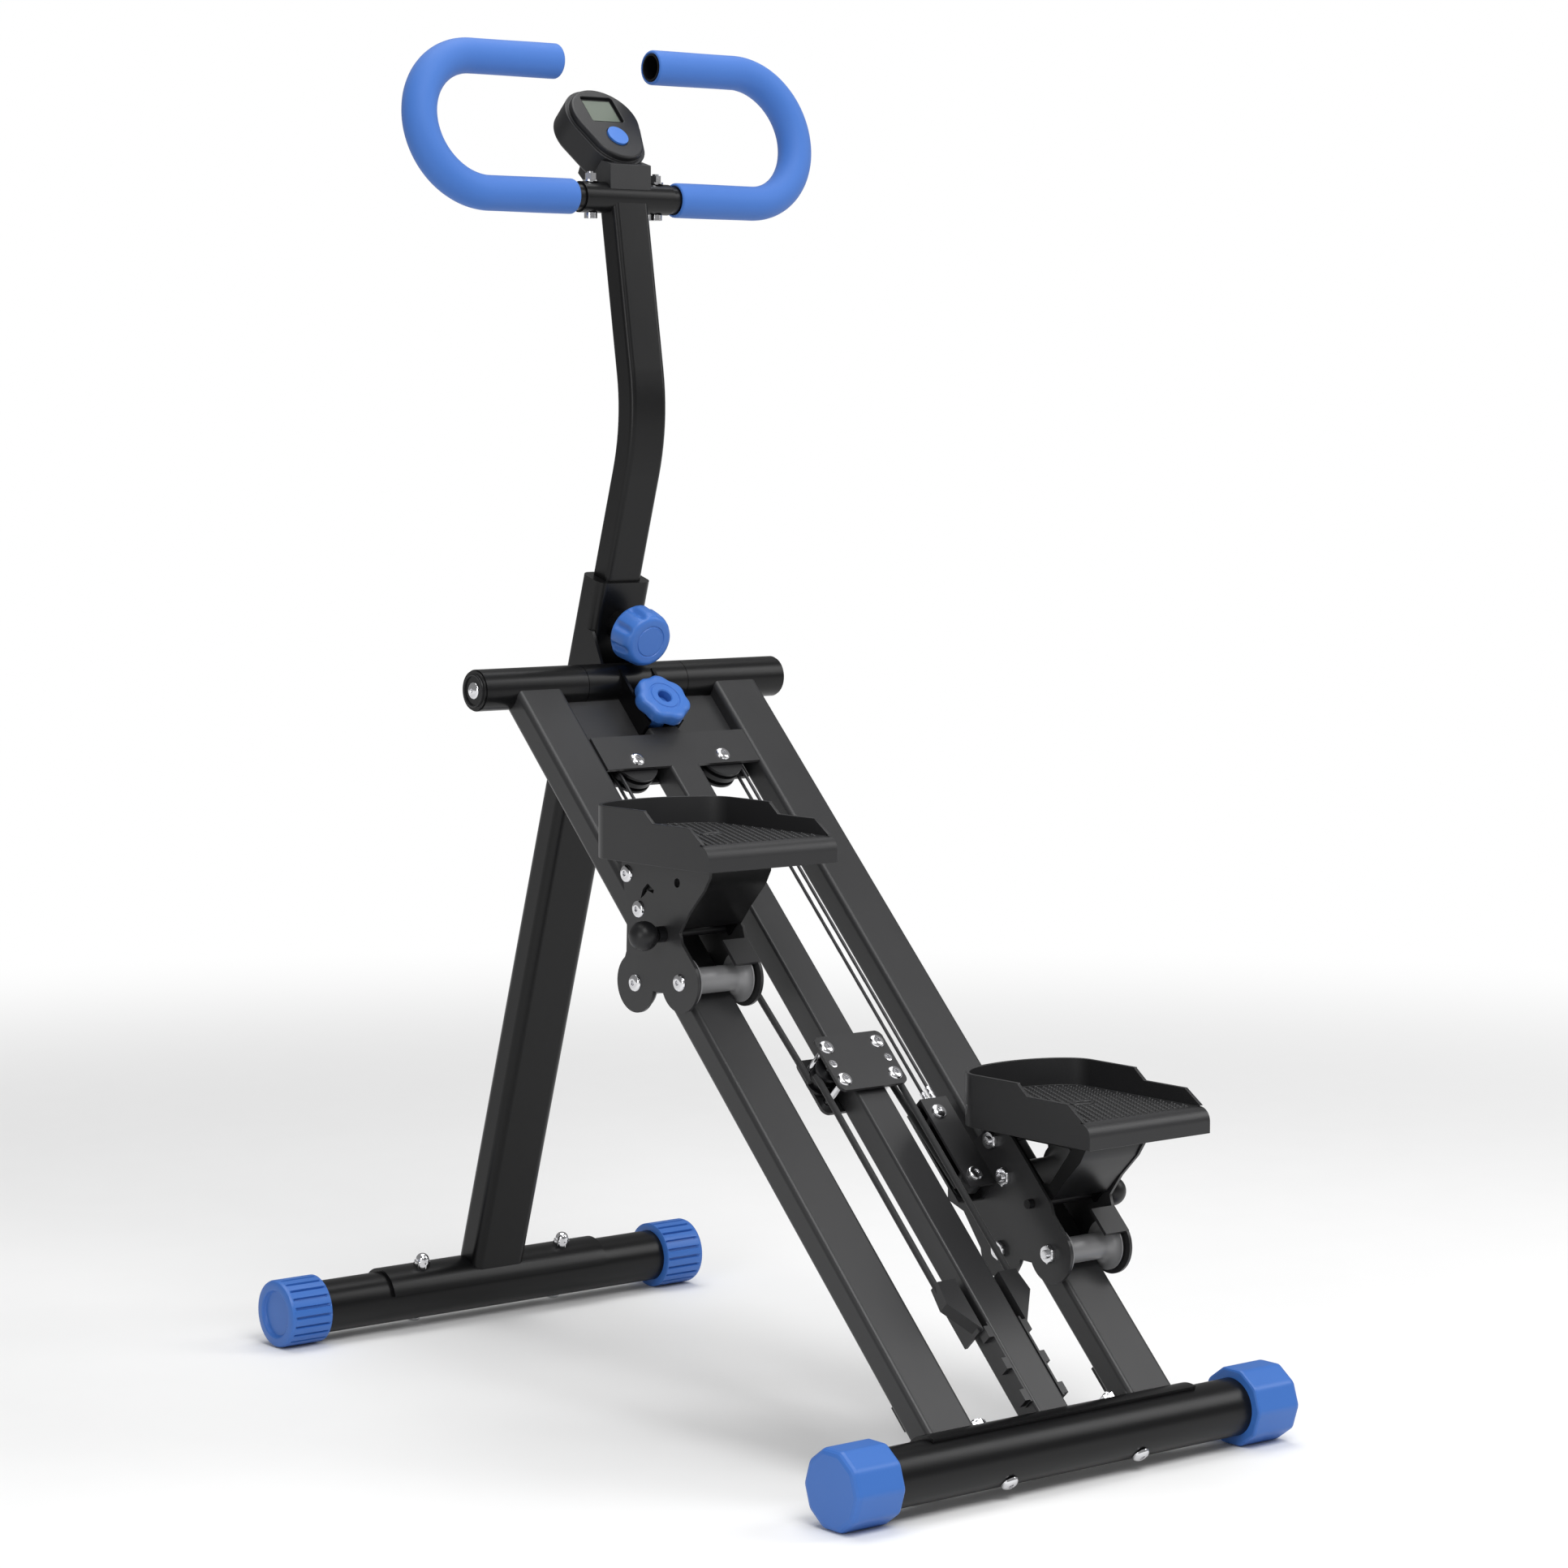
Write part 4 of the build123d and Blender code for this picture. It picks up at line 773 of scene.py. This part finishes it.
def makeBolts(node, axis, body, b, extra=0.0):
    # the axis points from nut to head; each bolt keeps the centre line and length of its solid
    side = unit(np.cross(axis, (1, 0, 0) if abs(axis[0]) < 0.9 else (0, 1, 0)))
    other = np.cross(axis, side)
    bolts = []
    for points in looseParts(node):
        centre = middleAcross(points, (side, other))
        rows = boltProfile(b, np.min(points @ axis) - extra, np.max(points @ axis))
        hexed = np.array([row[2] for row in rows])[:, None]

        def shape(theta, along, radius, hexed=hexed):
            flat = math.cos(math.pi / 6) / np.cos(theta % (math.pi / 3) - math.pi / 6)
            return radius * (1 + hexed * (flat - 1))

        bolts.append(turnedPiece("bolt", [row[:2] for row in rows], centre, axis, finishes["chrome"], body,
                                 radiusAt=shape, turns=48, start=side, smooth=32))
    words = node.split("_")
    joinPieces(words[0] + "".join(w.title() for w in words[1:]) + "Chrome", bolts, body, (node,))


hitchScrew = {"head": 0.0071, "high": 0.0016, "over": 0.0004, "socket": 0.0023, "longest": 0.05}


def makeHitchScrews(name, normal, h):
    # chrome domes with a socket over the two screw heads of the cable hitch
    side = unit(np.cross(normal, (1, 0, 0)))
    other = np.cross(normal, side)
    domes = []
    for points in looseParts(name + "_cable_hitch"):
        if np.max(np.ptp(points, axis=0)) > h["longest"]:
            continue
        centre = middleAcross(points, (side, other))
        top = np.max(points @ normal)
        turn = np.linspace(0.2, 1.25, 7)
        rows = [(top - 0.0026, 0.0), (top - 0.0026, h["head"])]
        rows += [(top - 0.001 + (h["high"] + 0.001) * math.sin(a), h["head"] * math.cos(a)) for a in turn]
        rows += [(top + h["high"] - 0.0004, h["socket"] * 0.9), (top + h["over"], h["socket"] * 0.85),
                 (top + h["over"], 0.0)]
        domes.append(turnedPiece("dome", rows, centre, normal, finishes["chrome"], name + "_carriage",
                                 turns=48))
    joinPieces(name + "HitchScrewHeads", domes, name + "_carriage")


crimp = {"radius": 0.0025, "long": 0.016, "waist": 0.0021, "above": 0.0835, "apart": 0.0045, "across": 0.069}


def makeCrimps(name, side, up, normal, c):
    # pressed sleeves round the two cable ends where they enter the hitch: three rolled waists
    pulley = jointPlace(name + "_hitch_pulley_turn")[0]
    x = np.linspace(0, 1, 25)
    r = c["radius"] - (c["radius"] - c["waist"]) * np.clip(np.cos(x * 6 * math.pi + math.pi), 0, 1)
    rows = [(0.0, 0.0)] + list(zip((x * c["long"]).tolist(), r.tolist())) + [(c["long"], 0.0)]
    sleeves = []
    for h in (-c["apart"], c["apart"]):
        start = np.array([side * c["across"], *(pulley + up * c["above"] + normal * h)[1:]])
        sleeves.append(turnedPiece("sleeve", rows, start, up, finishes["crimp"], name + "_carriage", turns=32))
    joinPieces(name + "CableCrimps", sleeves, name + "_carriage")


pivotScrew = {"ring": 0.0150, "deep": 0.0012, "head": 0.0080, "high": 0.0030, "slot": 0.0011}


def makePivotScrews(p):
    # stepped plug face and a domed screw head with a round recess at both ends of the pivot tube
    lo, hi = boxOf("pivot_axle")
    y, z = (lo[1] + hi[1]) / 2, (lo[2] + hi[2]) / 2
    screws, rings = [], []
    for side in (-1, 1):
        face = (side * hi[0], y, z)
        turn = np.linspace(0, math.pi / 2, 7)
        dome = [(p["high"] * math.sin(a) * 0.9 + 0.0003, p["head"] * math.cos(a)) for a in turn[:-1]]
        profile = [(-0.001, 0.0), (-0.001, p["head"])] + dome + [(p["high"] * 0.9, p["slot"] * 2)]
        profile += [(p["high"] * 0.45, p["slot"] * 1.4), (p["high"] * 0.45, 0.0)]
        screws.append(turnedPiece("screw", profile, face, (side, 0, 0), finishes["chrome"], "front_frame",
                                  turns=48, start=(0, 1, 0)))
        r, d = p["ring"], p["deep"]
        lip = [(-0.0005, r - 0.0022), (d, r - 0.0018), (d + 0.0004, r - 0.0012), (d + 0.0004, r - 0.0004),
               (d, r + 0.0002), (-0.0005, r + 0.0006)]
        rings.append(turnedPiece("ring", lip, face, (side, 0, 0), finishes["blackPlastic"], "front_frame",
                                 turns=96, start=(0, 1, 0)))
    joinPieces("pivotScrews", screws, "front_frame")
    joinPieces("pivotPlugRings", rings, "front_frame")


# pressed and moulded parts with their edges rounded over: edge radius, finish
softEdges = {"pedal": (0.0009, "pedalPlastic"), "carriage": (0.0004, "blackPaint"),
             # the pedal bracket takes the darker black as painted shade: the web under the pedal sits in shadow
             "pedalBracket": (0.0006, "glossBlackAndShade"), "shell": (0.0011, "blackPlastic"),
             "computerBracket": (0.0006, "blackPaint")}


def makeSoftParts(e):
    def soften(node, kind, body, name):
        width, look = e[kind]
        softened(node, width, body, finishes[look], name)

    for name in sides:
        soften(name + "_pedal", "pedal", name + "_pedal", name + "PedalTray")
        soften(name + "_carriage_frame", "carriage", name + "_carriage", name + "CarriagePlates")
        soften(name + "_pedal_bracket", "pedalBracket", name + "_pedal", name + "PedalBracketPlate")
    soften("computer_housing", "shell", "handle", "computerShell")
    soften("computer_bracket", "computerBracket", "handle", "computerBracketPlate")


makeGrips(gripSettings)
makeFrontCaps(frontCap)
makeRearCaps(rearCap)
print("grips and foot caps made")
makeHeightKnob(heightKnob)
makeLockKnob(lockKnob)
print("knobs made")
for name in sides:
    makeTread(name, treadSettings)
makeSoftParts(softEdges)
print("pedals, carriages and computer made")
makeRopes(cableSettings)
print("cables and cords made")
slope, normal = unit(joints["left_carriage_slide"]["axis"]), jointPlace("left_top_pulley_turn")[1]
makeBolts("front_base_bolts", -slope, "front_frame", {**baseBolt, "cap": 0.0})
makeBolts("rear_base_bolts", -unit(joints["handle_height"]["axis"]), "rear_frame", baseBolt, extra=0.006)
makeBolts("frame_screws", normal, "front_frame", plateBolt)
for name, side in sides.items():
    makeBolts(name + "_carriage_bolts", np.array([side, 0.0, 0.0]), name + "_carriage", carriageBolt)
    makeHitchScrews(name, normal, hitchScrew)
    makeCrimps(name, side, slope, normal, crimp)
makePivotScrews(pivotScrew)
print("bolts and screws made")
